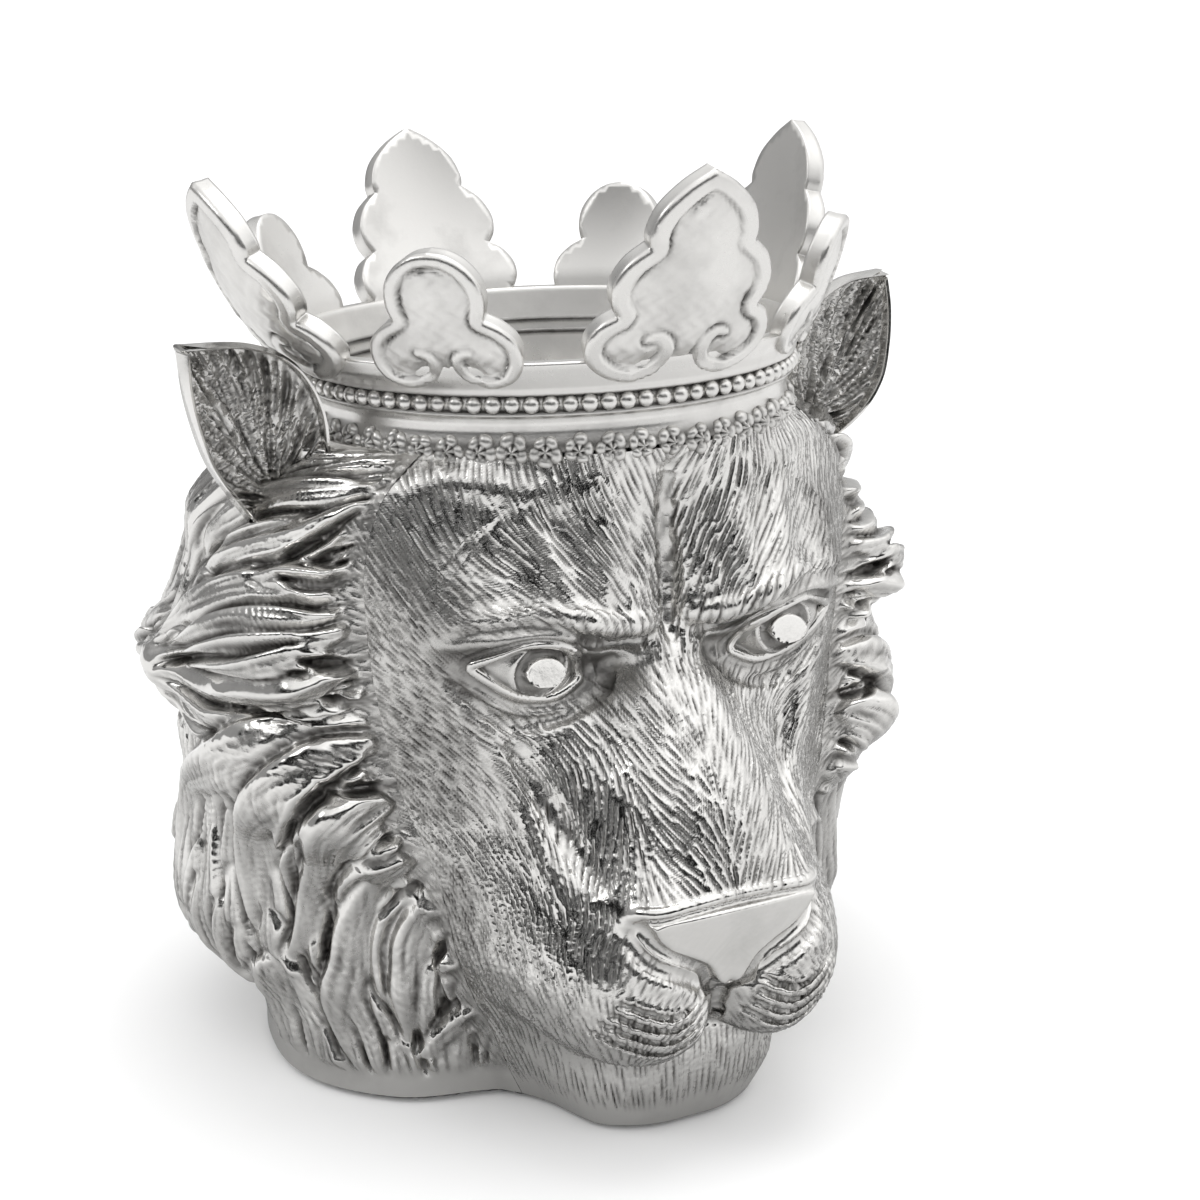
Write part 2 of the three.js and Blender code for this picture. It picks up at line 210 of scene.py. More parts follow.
def comb(sheet, steps, allowed, length, gap, depth, width, seed):
    """Cuts short tapered hair strokes all over a sheet, side by side and never crossing.

    steps are columns and rows per millimetre along the hair; the others are grids of millimetres."""
    pick = np.random.default_rng(seed)
    taken = ~allowed
    rows, columns = sheet.rows, sheet.columns
    order = pick.permutation(rows * columns)
    count = 4
    for spot in order:
        i0, j0 = divmod(int(spot), columns)
        if taken[i0, j0]:
            continue
        span = length[i0, j0] * pick.uniform(0.75, 1.2)
        stride = span * 1.5 / (2 * count)
        line = [(float(i0), float(j0))]
        for turn in (1, -1):
            i, j = float(i0), float(j0)
            for _ in range(count):
                r = min(max(int(round(i)), 0), rows - 1)
                c = min(max(int(round(j)), 0), columns - 1)
                i += turn * stride * steps[1][r, c]
                j += turn * stride * steps[0][r, c]
                line.append((i, j)) if turn == 1 else line.insert(0, (i, j))
        line = np.array(line)
        mm = np.array([sheet.up_mm[i0, j0], sheet.across_mm[i0, j0]])
        pad = 2.2 * gap[i0, j0] / mm
        low = np.maximum(np.floor(line.min(0) - pad), 0).astype(int)
        high = np.minimum(np.ceil(line.max(0) + pad) + 1, [rows, columns]).astype(int)
        if (high - low < 2).any():
            continue
        ii, jj = np.mgrid[low[0]:high[0], low[1]:high[1]]
        cells = np.stack([ii.ravel() * mm[0], jj.ravel() * mm[1]], 1)
        away, share, side = to_path(cells, line * mm)
        w = width[i0, j0]
        along = np.clip((share - 0.5) * 1.5, -0.5, 0.5)
        envelope = np.clip(np.cos(math.pi * along), 0, 1) ** 0.6
        signed = away * side
        cut = envelope * bell(signed, w)
        lip = envelope * bell(signed - 1.7 * w, 0.9 * w)
        d = depth[i0, j0] * pick.uniform(0.7, 1.15)
        window = np.s_[low[0]:high[0], low[1]:high[1]]
        sheet.relief[window] += d * (0.32 * lip - cut).reshape(ii.shape)
        sheet.cut[window] = np.maximum(sheet.cut[window], cut.reshape(ii.shape))
        taken[window] |= (away < gap[i0, j0]).reshape(ii.shape)


def draw_out(values, steps, reach):
    """Averages a grid of numbers along the hair."""
    rows, columns = values.shape
    total = np.zeros(values.shape)
    for turn in (1, -1):
        i, j = np.mgrid[0:rows, 0:columns].astype(float)
        for k in range(reach):
            r = np.clip(np.rint(i), 0, rows - 1).astype(int)
            c = np.clip(np.rint(j), 0, columns - 1).astype(int)
            total += values[r, c] * (1 - k / reach)
            i = i + turn * 0.7 * steps[1][r, c]
            j = j + turn * 0.7 * steps[0][r, c]
    return total / (reach + 1)


def streaks(shape, steps, seed, reach=9, coarse=0):
    """Noise drawn out along the hair: fine parallel lines for between the strokes."""
    noise = np.random.default_rng(seed).standard_normal(shape)
    lines = draw_out(blur(noise, coarse), steps, reach)
    lines -= blur(lines, 6)
    return lines / lines.std()


# ---- Meshes ---------------------------------------------------------------------------------

def zip_loops(a, b):
    """Triangles that join two closed loops of point numbers, which start side by side."""
    n, m = len(a), len(b)
    out = []
    i = j = 0
    while i < n or j < m:
        if j >= m or (i < n and (i + 1) * m <= (j + 1) * n):
            out.append((a[i % n], a[(i + 1) % n], b[j % m]))
            i += 1
        else:
            out.append((a[i % n], b[(j + 1) % m], b[j % m]))
            j += 1
    return out


def grid_faces(rows, columns, first=0, flip=False, closed=False):
    r, c = np.mgrid[0:rows - 1, 0:columns - (0 if closed else 1)]
    nxt = (c + 1) % columns
    quads = np.stack([r * columns + c, r * columns + nxt, (r + 1) * columns + nxt, (r + 1) * columns + c], -1)
    quads = quads.reshape(-1, 4) + first
    return quads[:, ::-1] if flip else quads


def border(rows, columns, first=0):
    """Point numbers round the edge of a grid, starting at its first row."""
    grid = np.arange(rows * columns).reshape(rows, columns) + first
    return list(np.concatenate([grid[0, :-1], grid[:-1, -1], grid[-1, :0:-1], grid[:0:-1, 0]]))


def shell(outer, inner):
    """A closed wall between an outer grid and a coarser inner one, as points and faces."""
    first = outer.shape[0] * outer.shape[1]
    faces = [grid_faces(*outer.shape[:2]), grid_faces(*inner.shape[:2], first, flip=True)]
    rim = zip_loops(border(*inner.shape[:2], first), border(*outer.shape[:2]))
    return np.concatenate([outer.reshape(-1, 3), inner.reshape(-1, 3)]), faces + [np.array(rim)]


def make_mesh(name, points, faces, material, attributes=None, turn_over=False, crisp=False):
    """A Blender object from points in millimetres and a list of arrays of faces."""
    mesh = bpy.data.meshes.new(name)
    if turn_over:
        faces = [f[:, ::-1] for f in faces]
    sizes = np.concatenate([np.full(len(f), f.shape[1]) for f in faces])
    loops = np.concatenate([f.ravel() for f in faces]).astype(np.int32)
    mesh.vertices.add(len(points))
    mesh.vertices.foreach_set("co", (np.asarray(points) * MM).astype(np.float32).ravel())
    mesh.loops.add(len(loops))
    mesh.loops.foreach_set("vertex_index", loops)
    mesh.polygons.add(len(sizes))
    mesh.polygons.foreach_set("loop_start", (np.cumsum(sizes) - sizes).astype(np.int32))
    mesh.update(calc_edges=True)
    mesh.validate()
    mesh.polygons.foreach_set("use_smooth", np.ones(len(mesh.polygons), bool))
    if crisp:
        mesh.set_sharp_from_angle(angle=math.radians(72))
    for key, values in (attributes or {}).items():
        layer = mesh.attributes.new(key, "FLOAT", "POINT")
        layer.data.foreach_set("value", np.asarray(values, np.float32).ravel())
    mesh.materials.append(material)
    item = bpy.data.objects.new(name, mesh)
    bpy.context.scene.collection.objects.link(item)
    return item


# ---- Metals ---------------------------------------------------------------------------------

class Graph:
    """Short calls for building the nodes of a material or a world."""

    def __init__(self, holder, shader="Principled BSDF"):
        self.material = holder
        holder.use_nodes = True
        self.tree = holder.node_tree
        self.shader = self.tree.nodes[shader]

    def node(self, kind, inputs=None, **settings):
        n = self.tree.nodes.new("ShaderNode" + kind)
        for key, value in settings.items():
            setattr(n, key, value)
        for key, value in (inputs or {}).items():
            self.feed(n.inputs[key], value)
        return n

    def feed(self, socket, value):
        if isinstance(value, bpy.types.NodeSocket):
            self.tree.links.new(value, socket)
        else:
            socket.default_value = value

    def math(self, operation, a, b=0.0, clamp=False):
        return self.node("Math", {0: a, 1: b}, operation=operation, use_clamp=clamp).outputs[0]

    def mix(self, share, a, b):
        n = self.node("Mix", data_type="RGBA")
        self.feed(n.inputs[0], share)
        self.feed(n.inputs[6], a)
        self.feed(n.inputs[7], b)
        return n.outputs[2]

    def spread(self, value, low, high, to_low, to_high):
        return self.node("MapRange", {0: value, 1: low, 2: high, 3: to_low, 4: to_high}).outputs[0]


def cast_metal(name, bright, dark, polish, pits=0.5):
    """Polished casting: bright on the high places, grey and grainy in the cut ones, and dark wherever the hollow
    attribute paints shade.
    """
    g = Graph(bpy.data.materials.new(name))
    where = g.node("TexCoord").outputs["Object"]
    hollow = g.node("Attribute", attribute_name="hollow").outputs["Fac"]
    clouds = g.node("TexNoise", {"Vector": where, "Scale": 45.0, "Detail": 4.0, "Roughness": 0.6}).outputs["Fac"]
    sand = g.node("TexNoise", {"Vector": where, "Scale": 1500.0, "Detail": 3.0, "Roughness": 0.7}).outputs["Fac"]
    grit = g.node("TexVoronoi", {"Vector": where, "Scale": 900.0}).outputs["Distance"]
    satin = g.node("Attribute", attribute_name="satin").outputs["Fac"]
    # the hollow attribute carries both tarnish in the cuts and painted shade, such as the face's eye sockets
    tarnish_and_shade = g.math("ADD", hollow, g.spread(clouds, 0.35, 0.7, -0.12, 0.14), clamp=True)
    g.feed(g.shader.inputs["Base Color"], g.mix(tarnish_and_shade, (*bright, 1), (*dark, 1)))
    g.feed(g.shader.inputs["Metallic"], 1.0)
    rough = g.math("ADD", g.spread(tarnish_and_shade, 0.0, 1.0, polish, 0.5), g.math("MULTIPLY", satin, 0.3))
    g.feed(g.shader.inputs["Roughness"], g.math("ADD", rough, g.spread(sand, 0.3, 0.7, -0.04, 0.05), clamp=True))
    grain = g.math("MULTIPLY", g.math("ADD", sand, g.math("MULTIPLY", grit, 0.6)), g.spread(tarnish_and_shade, 0, 0.8, 0.05, 1.0))
    bump = g.node("Bump", {"Height": grain, "Strength": pits, "Distance": 0.0003})
    g.feed(g.shader.inputs["Normal"], bump.outputs[0])
    return g.material


def spun_metal():
    """Sheet spun on a lathe: fine rings round the axis."""
    g = Graph(bpy.data.materials.new("spun_metal"))
    place = g.node("SeparateXYZ", {0: g.node("TexCoord").outputs["Object"]}).outputs
    radius = g.math("SQRT", g.math("ADD", g.math("POWER", place[0], 2.0), g.math("POWER", place[1], 2.0)))
    rings = g.node("CombineXYZ", {0: radius, 1: 0.0, 2: place[2]}).outputs[0]
    fine = g.node("TexNoise", {"Vector": rings, "Scale": 1400.0, "Detail": 2.0}).outputs["Fac"]
    broad = g.node("TexNoise", {"Vector": rings, "Scale": 120.0, "Detail": 2.0}).outputs["Fac"]
    g.feed(g.shader.inputs["Base Color"], g.mix(broad, (0.62, 0.61, 0.59, 1), (0.78, 0.77, 0.75, 1)))
    g.feed(g.shader.inputs["Metallic"], 1.0)
    g.feed(g.shader.inputs["Roughness"], g.spread(fine, 0.3, 0.7, 0.2, 0.34))
    g.feed(g.shader.inputs["Normal"], g.node("Bump", {"Height": fine, "Strength": 0.25, "Distance": 0.0002}).outputs[0])
    return g.material


def rolled_sheet():
    """Flat rolled sheet with its grain along Y."""
    g = Graph(bpy.data.materials.new("rolled_sheet"))
    where = g.node("TexCoord").outputs["Object"]
    stretched = g.node("VectorMath", {0: where, 1: (900.0, 25.0, 900.0)}, operation="MULTIPLY").outputs["Vector"]
    grain = g.node("TexNoise", {"Vector": stretched, "Scale": 1.0, "Detail": 3.0}).outputs["Fac"]
    g.feed(g.shader.inputs["Base Color"], g.mix(grain, (0.42, 0.42, 0.43, 1), (0.6, 0.6, 0.6, 1)))
    g.feed(g.shader.inputs["Metallic"], 1.0)
    g.feed(g.shader.inputs["Roughness"], g.spread(grain, 0.3, 0.7, 0.3, 0.45))
    g.feed(g.shader.inputs["Normal"], g.node("Bump", {"Height": grain, "Strength": 0.2, "Distance": 0.0002}).outputs[0])
    return g.material


def felt_cloth():
    g = Graph(bpy.data.materials.new("felt_cloth"))
    where = g.node("TexCoord").outputs["Object"]
    wool = g.node("TexNoise", {"Vector": where, "Scale": 1800.0, "Detail": 4.0, "Distortion": 2.0}).outputs["Fac"]
    g.feed(g.shader.inputs["Base Color"], g.mix(wool, (0.012, 0.012, 0.013, 1), (0.06, 0.06, 0.062, 1)))
    g.feed(g.shader.inputs["Roughness"], g.spread(wool, 0.3, 0.7, 0.88, 1.0))
    g.feed(g.shader.inputs["Normal"], g.node("Bump", {"Height": wool, "Strength": 0.8, "Distance": 0.0004}).outputs[0])
    return g.material


def zinc_steel():
    g = Graph(bpy.data.materials.new("zinc_steel"))
    where = g.node("TexCoord").outputs["Object"]
    spangle = g.node("TexVoronoi", {"Vector": where, "Scale": 700.0}).outputs["Distance"]
    g.feed(g.shader.inputs["Base Color"], g.mix(spangle, (0.5, 0.51, 0.53, 1), (0.68, 0.69, 0.7, 1)))
    g.feed(g.shader.inputs["Metallic"], 1.0)
    g.feed(g.shader.inputs["Roughness"], g.spread(spangle, 0.0, 0.8, 0.24, 0.36))
    return g.material


SILVER = (0.78, 0.77, 0.75)
# dark colour for the tarnished cuts and for painted shade
TARNISH_AND_SHADE = (0.085, 0.08, 0.075)
casting = cast_metal("cast_silver", SILVER, TARNISH_AND_SHADE, 0.12)
spun, sheet_metal, felt, steel = spun_metal(), rolled_sheet(), felt_cloth(), zinc_steel()


# ---- Face -----------------------------------------------------------------------------------

# Points of the lion's left half of the face from the midline to the seam with the mane, (x, y, z) each,
# row by row from the foot to the crown. The other half is its mirror image.
FACE = [
    [(0, -93.5, 2), (10, -93.3, 2), (20, -90, 2), (28, -84, 2), (32, -74, 2), (35, -65, 2), (40, -57, 2)],
    [(0, -97, 13), (12, -97, 13), (25, -93, 13), (34, -85, 13), (38, -76, 13), (41, -67, 13), (45, -57, 13)],
    [(0, -98, 25), (12, -98, 25), (25, -94, 25), (35, -86, 25), (41, -77, 26), (46, -68, 27), (51, -57, 28)],
    [(0, -98, 37), (11, -99, 33), (22, -98, 30), (34, -91, 30), (43, -82, 34), (50, -72, 38), (56, -57, 38)],
    [(0, -106, 41), (11, -111, 37), (22, -111, 34.5), (34, -106, 35), (44, -96, 39), (52, -80, 44), (60, -57, 48)],
    [(0, -108, 50), (10, -116, 50), (22, -119, 50), (35, -114, 50), (46, -103, 52), (54, -84, 56), (63, -57, 58)],
    [(0, -112, 60), (12, -116, 62), (24, -119, 63), (37, -112, 64), (47, -99, 66), (54, -80, 68), (65, -56, 70)],
    [(0, -116, 74), (14, -117.5, 75), (26, -116, 76), (36, -106, 77), (45, -92, 78), (54, -75, 80), (68, -55, 82)],
    [(0, -118, 84), (15, -118, 84.5), (27, -116, 84.5), (35, -103, 86), (43, -88, 88), (54, -71, 90), (71, -54, 92)],
    [(0, -113, 98), (14, -111.5, 98), (25, -105, 99), (33, -92, 100), (42, -79, 102), (54, -68, 103), (75, -50, 104)],
    [(0, -106.6, 113), (12, -105, 113), (22, -98, 114), (30, -85, 115), (41, -74, 116), (55, -67, 116), (78, -47, 116)],
    [(0, -98, 127), (11, -96, 127), (18, -89, 128), (26, -78, 129), (40, -70, 129), (57, -66, 129), (80, -45, 130)],
    [(0, -89, 139), (10, -87, 139), (17, -79, 139), (26, -71, 139), (41, -68.5, 139), (59, -66, 140), (82, -44, 142)],
    [(0, -80, 149), (9, -78, 149), (17, -71, 148), (27, -69, 147), (42, -72, 150), (61, -68, 152), (83, -43, 153)],
    [(0, -75, 159), (9, -79, 160), (18, -80.5, 161), (29, -81, 162), (44, -80, 162), (63, -71, 163), (84, -43, 164)],
    [(0, -74, 171), (10, -80, 171), (20, -82.5, 172), (31, -81.5, 173), (45, -77, 174), (63, -67, 175), (84, -43, 176)],
    [(0, -73, 184), (10, -77.5, 184), (21, -79, 185), (32, -77, 186), (45, -71.5, 186), (61, -62, 187), (82, -43, 188)],
    [(0, -73, 198), (11, -75, 198), (22, -75, 198), (33, -72, 199), (45, -66, 199), (58, -58, 199), (77, -43, 199)],
    [(0, -76, 213), (12, -75.5, 213), (23, -73, 213), (34, -68, 212), (44, -62, 212), (54, -53.5, 211.5), (64, -42, 211)],
]
SPACING = 0.54
WALL = 6.0

# How the face's hair lies: (x, z, lean outwards from straight up in degrees, stroke length, depth).
FACE_HAIR = [
    (4, 205, 30, 8, 0.7), (30, 205, 25, 8, 0.8), (60, 205, 20, 8, 0.6),
    (5, 180, 30, 8, 0.8), (25, 185, 35, 9, 0.75), (45, 180, 45, 9, 0.45), (75, 185, 40, 7, 0.5),
    (8, 165, 25, 7, 0.8), (30, 168, 45, 8, 0.9), (55, 168, 62, 7, 0.6), (78, 162, 60, 6, 0.5),
    (4, 145, 10, 6, 0.6), (14, 140, 35, 6, 0.6), (74, 145, 75, 6, 0.5), (52, 128, 60, 6, 0.7),
    (38, 127, 45, 6, 0.7), (66, 126, 70, 7, 0.6), (5, 125, 22, 7, 0.7), (16, 122, 45, 7, 0.8),
    (5, 100, 25, 7, 0.6), (18, 100, 52, 8, 0.7), (46, 100, 5, 7, 0.6),
    (60, 105, 35, 7, 0.6), (70, 95, 20, 7, 0.5), (56, 80, 12, 8, 0.6), (44, 78, 30, 7, 0.6),
    (34, 112, -12, 8, 0.7), (36, 98, -18, 8, 0.7), (33, 86, -14, 8, 0.7), (34, 70, -20, 3.5, 0.45), (60, 60, 15, 8, 0.6), (48, 55, 50, 7, 0.5), (30, 56, -50, 2.4, 0.28),
    (12, 55, -45, 2.4, 0.28), (20, 42, -55, 2.4, 0.28), (40, 42, 50, 7, 0.45), (52, 35, 30, 7, 0.5),
    (5, 22, 0, 8, 0.5), (20, 18, 5, 8, 0.55), (36, 20, 15, 8, 0.55), (46, 15, 20, 8, 0.5),
]

LID_LINE = [(28, 153), (37, 160.5), (48, 162.5), (59, 161.5), (70, 158)]
EYE = dict(inner=(28.0, 144.5), outer=(60.0, 152.5), centre=(42.8, 150.2), ball_r=19.0)


def half_grid():
    """The face's smooth form, mirrored across the midline and drawn out to the full width."""
    left = np.array(FACE, float)
    right = left[:, :0:-1] * [-1, 1, 1]
    net = np.concatenate([right, left], 1)
    rows = flow_through(net, np.linspace(0, len(net) - 1, 900))
    return flow_through(rows.transpose(1, 0, 2), np.linspace(0, net.shape[1] - 1, 900)).transpose(1, 0, 2)


def inside_distance(x, z, outline):
    """Signed distance in the front view to a closed outline, negative inside."""
    ring = np.vstack([outline, outline[:1]])
    flat = np.stack([x.ravel(), z.ravel()], 1)
    gap, _, _ = to_path(flat, ring)
    inside = np.zeros(len(flat), bool)
    for (x1, z1), (x2, z2) in zip(ring[:-1], ring[1:]):
        crosses = (z1 > flat[:, 1]) != (z2 > flat[:, 1])
        at = x1 + (flat[:, 1] - z1) / ((z2 - z1) or 1e-9) * (x2 - x1)
        inside ^= crosses & (flat[:, 0] < at)
    return np.where(inside, -gap, gap).reshape(x.shape)


def eye_outline():
    """Almond-shaped edge of the eye's opening."""
    (xi, zi), (xo, zo) = EYE["inner"], EYE["outer"]
    upper = curve([(xi, zi), (31.5, 151.6), (40, 157.2), (49.5, 157.6), (xo, zo)], 40)
    lower = curve([(xo, zo), (55, 148.5), (46, 142.6), (36, 141.2), (xi, zi)], 40)
    return np.vstack([upper[:-1], lower[:-1]])


def nose_outline():
    """Edge of the smooth nose pad: a wide triangle with a blunt point below and drawn-in sides."""
    side = curve([(28.5, 82.5), (25.5, 76.5), (16, 70.5), (8.5, 65), (4.5, 58.5), (0, 55.5)], 40)
    top = curve([(-28.5, 82.5), (-15, 83.6), (0, 84), (15, 83.6), (28.5, 82.5)], 30)
    return np.vstack([top[:-1], side, side[-2:0:-1] * [-1, 1]])


def sculpt_eyes(sheet, x, z, front):
    """Eyeballs, lids and the marks round them. Returns the openings' distance and how dark the eyes are."""
    opening = inside_distance(np.abs(x), z, eye_outline())
    cx, cz = EYE["centre"]
    dx, dz = np.abs(x) - cx, z - cz
    ball = -76.0 + 19 - np.sqrt(np.maximum(EYE["ball_r"] ** 2 - dx ** 2 - (dz * 1.05) ** 2, 1))
    ball -= 0.16 * dz
    inside = smooth(0.6, -0.6, opening) * front
    sheet.base[..., 1] = sheet.base[..., 1] * (1 - inside) + ball * inside
    rim = bell(opening - 1.7, 1.2) * front
    crease = bell(opening - 3.6, 0.9) * front * smooth(-6, 3, dz)
    bag = bell(opening - 4.6, 1.4) * front * smooth(2, -5, dz)
    pouch = bell(opening - 8.6, 1.2) * front * smooth(0, -6, dz)
    sheet.relief += 1.4 * rim - 1.2 * crease - 0.8 * bag - 0.7 * pouch
    away = np.hypot(dx + 0.5, dz * 1.05)
    ring = bell(away - 9.2, 0.8) * inside
    iris = smooth(8.8, 7.8, away) * inside
    pupil = smooth(1.05, 0.95, np.hypot((dx + 0.8) / 6.8, (dz - 0.2) / 4.4)) * inside
    sheet.base[..., 1] = sheet.base[..., 1] * (1 - pupil) + pupil * (0.42 * dz - 77.6)
    sheet.relief += 0.6 * ring - 1.0 * iris * (1 - pupil)
    dark = np.clip(0.3 - 0.25 * ring + 0.4 * iris, 0, 1) * inside
    slot = bell(opening + 0.6, 1.0) * front
    return opening, np.clip(dark * (1 - pupil) + 0.35 * slot, 0, 1)


def sculpt_nose(sheet, x, z, front):
    pad = inside_distance(x, z, nose_outline())
    inside = smooth(0.5, -0.9, pad) * front
    flat = -119.6 + 0.16 * (84 - z) + 0.0024 * x ** 2
    sheet.base[..., 1] = sheet.base[..., 1] * (1 - inside) + flat * inside
    below = smooth(84, 80, z)
    sheet.relief -= 2.4 * bell(pad - 1.6, 1.5) * front * below
    sheet.relief -= 1.1 * bell(pad - 1.2, 0.8) * front * (1 - below)
    sheet.relief += 1.3 * bell(pad - 3.4, 1.2) * front * (1 - below) * smooth(34, 28, np.abs(x))
    return pad


def face_sheet():
    sheet = Sheet(even_grid(half_grid(), SPACING))
    x, y, z = (sheet.base[..., k].copy() for k in range(3))
    front = smooth(-40, -55, y)
    opening, eye_dark = sculpt_eyes(sheet, x, z, front)
    pad = sculpt_nose(sheet, x, z, smooth(-95, -105, y))
    sheet.groove([(0.0, 206), (0.0, 185), (0.0, 168), (0.0, 156)], 3.0, 3.4, lip=0.8, both=False)
    sheet.groove([(4, 163), (11, 162.5), (19, 162), (28, 165), (36, 169)], 3.6, -2.6)
    sheet.groove([(8, 156), (13, 154.5), (20, 154), (26, 156), (31, 160)], 2.4, 3.6, lip=0.8)
    sheet.groove([(10, 152), (16, 148.5), (20, 142)], 6.5, 1.0)
    sheet.groove([(60, 190), (54, 181), (52, 173), (50, 168)], 10.0, 3.0)
    sheet.groove([(76, 200), (62, 205), (44, 202.5), (30, 200)], 5.0, -1.8)
    sheet.groove([(36, 199), (33, 186), (29, 171)], 5.0, 1.8)
    sheet.groove([(46, 197), (42, 188), (39, 176)], 4.5, -1.4)
    sheet.groove([(10, 192), (16, 178), (25, 163)], 4.5, 1.3)
    sheet.groove([(10, 160.5), (20, 164), (34, 167), (50, 170), (68, 166)], 3.0, -1.6)
    sheet.groove([(66, 141), (54, 122), (46, 99), (43, 80)], 5.0, -2.0)
    sheet.groove([(50, 130), (42, 109), (36, 90)], 4.2, 2.4)
    sheet.groove(LID_LINE, 1.9, -1.2, lip=-0.6)
    sheet.groove([(16, 150), (20, 143), (25, 139), (33, 134)], 2.4, 1.6)
    sheet.groove([(33, 133), (44, 131), (56, 136), (66, 146)], 2.0, 1.3, lip=0.5)
    sheet.groove([(31, 81), (32, 76), (28.5, 70.5), (21, 66.5), (13.5, 62), (8, 57)], 2.3, 2.0, lip=0.6)
    sheet.groove([(0, 57), (0, 50), (0, 40), (0, 36)], 1.8, 3.0, both=False)
    for k in range(4):
        path = [(11 - 1.5 * k, 57 - 3.6 * k), (22, 53.5 - 4.8 * k), (37 + 2 * k, 58.5 - 3.6 * k)]
        sheet.groove(path, 0.9, 1.9, lip=0.6)
    sheet.groove([(0, 37.5), (11, 33.5), (22, 31), (34, 31), (43, 34.5), (50, 39)], 1.6, 2.0)
    sheet.carved = blur(sheet.relief, 10) - sheet.relief
    sheet.normal = grid_normals(sheet.finish())
    sheet.base = sheet.finish()
    sheet.relief[:] = 0
    combed_hair(sheet, x, z, opening, pad)
    return sheet, x, z, opening, pad, eye_dark


def combed_hair(sheet, x, z, opening, pad):
    anchors = np.array(FACE_HAIR, float)
    gap2 = (np.abs(x)[..., None] - anchors[:, 0]) ** 2 + (z[..., None] - anchors[:, 1]) ** 2
    weight = np.exp(-gap2 / (2 * 9.0 ** 2)) + 1e-9
    weight /= weight.sum(-1, keepdims=True)
    lean, length, depth = (weight @ anchors[:, k] for k in (2, 3, 4))
    lean = np.radians(lean)
    hair = np.stack([np.sign(x) * np.sin(lean), np.zeros_like(x), np.cos(lean)], -1)
    hair[..., 0] *= smooth(0, 3, np.abs(x))
    steps = hair_field(sheet, hair)
    below_nose = (z < 93) & (pad < 6.5)
    socket = np.hypot((np.abs(x) - 19) / 1.1, z - 148)
    lid, _, _ = to_path(np.stack([np.abs(x).ravel(), z.ravel()], 1), curve(LID_LINE))
    lid = lid.reshape(x.shape)
    lip_middle = (np.abs(x) < 5) & (z > 33) & (z < 60)
    allowed = (opening > 6.0) & (lid > 3) & ~below_nose & ~lip_middle & (z > 9) & (socket > 7)
    fade = smooth(5, 9, opening) * smooth(2, 5, lid) * smooth(8, 13, z) * smooth(6, 11, socket)
    fade *= smooth(0.4, 2.2, np.abs(x) + 6 * (z < 150))
    seam = np.arange(x.shape[1])
    fade *= smooth(0, 3, np.minimum(seam, seam[::-1]))
    fade *= 1 - 0.9 * smooth(9, 5, pad) * (z < 88)
    temple = smooth(40, 66, np.abs(x)) * smooth(190, 170, z)
    comb(sheet, steps, allowed, (1.5 - 0.6 * temple) * length, 1.36 - 0.2 * temple,
         (0.95 - 0.35 * temple) * depth * fade, np.full_like(x, 0.47), 5)
    sheet.relief += (0.1 + 0.08 * temple) * streaks(x.shape, steps, 6) * np.maximum(fade, 0.25 * (opening > 1))


def face_hollow(sheet, x, z, opening, pad, eye_dark):
    """How dark and grainy each point is, from 0 on the polished parts to 1 in the cuts, with painted shade added in the
    eye sockets and round the eyes.
    """
    low = np.clip(-sheet.relief * 1.2, 0, 1)
    valley = np.clip((blur(sheet.relief, 8) - sheet.relief) * 1.2, 0, 1)
    carved = 0.35 * np.clip(sheet.carved, 0, 1)
    cuts = np.clip(0.5 * low + 0.34 * sheet.cut + 0.3 * valley + carved, 0, 1)
    # painted shade: a dark patch in the deep inner corner of each eye socket, and a dark ring round each eye
    socket = bell(np.hypot((np.abs(x) - 18) / 1.2, z - 148), 7.5) * smooth(-40, -55, sheet.base[..., 1])
    lids = bell(opening - 5, 4.0)
    cheeks = smooth(52, 66, np.abs(x)) * smooth(200, 180, z)
    pads = smooth(62, 54, z) * smooth(33, 38, z) * smooth(46, 36, np.abs(x))
    # painted shade round the eyes, plus plain darkening of the outer cheeks and the whisker pads
    eye_shade_and_dark_patches = 0.4 * socket + 0.3 * lids + 0.28 * cheeks + 0.15 * pads + 0.03
    plain = np.maximum(smooth(1.5, -0.5, pad) * (z < 120), smooth(13, 7, z))
    rim = smooth(3.4, 2.4, opening)
    return np.maximum(np.clip(cuts + eye_shade_and_dark_patches, 0, 1) * (1 - plain) * (1 - 0.85 * rim), eye_dark)


def build_face():
    sheet, *parts = face_sheet()
    outer = sheet.finish()
    wall = np.concatenate([sheet.base[::9], sheet.base[-1:]], 0)[:, ::9]
    out = unit(wall * [1, 1, 0])
    wall = wall - out * WALL
    points, faces = shell(outer, wall)
    hollow = np.concatenate([face_hollow(sheet, *parts).ravel(), np.full(wall.shape[0] * wall.shape[1], 0.6)])
    item = make_mesh("lion_face", points, faces, casting, {"hollow": hollow}, crisp=True)
    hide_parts("face_casting")
    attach(item, "head")
    return sheet.base


# ---- Mane -----------------------------------------------------------------------------------

SEAT_Z = 208.0  # height of the crown's seat on the axis
CROWN_TILT = math.radians(4)  # the crown's front is raised by this much
FOOT_Z = 2.3

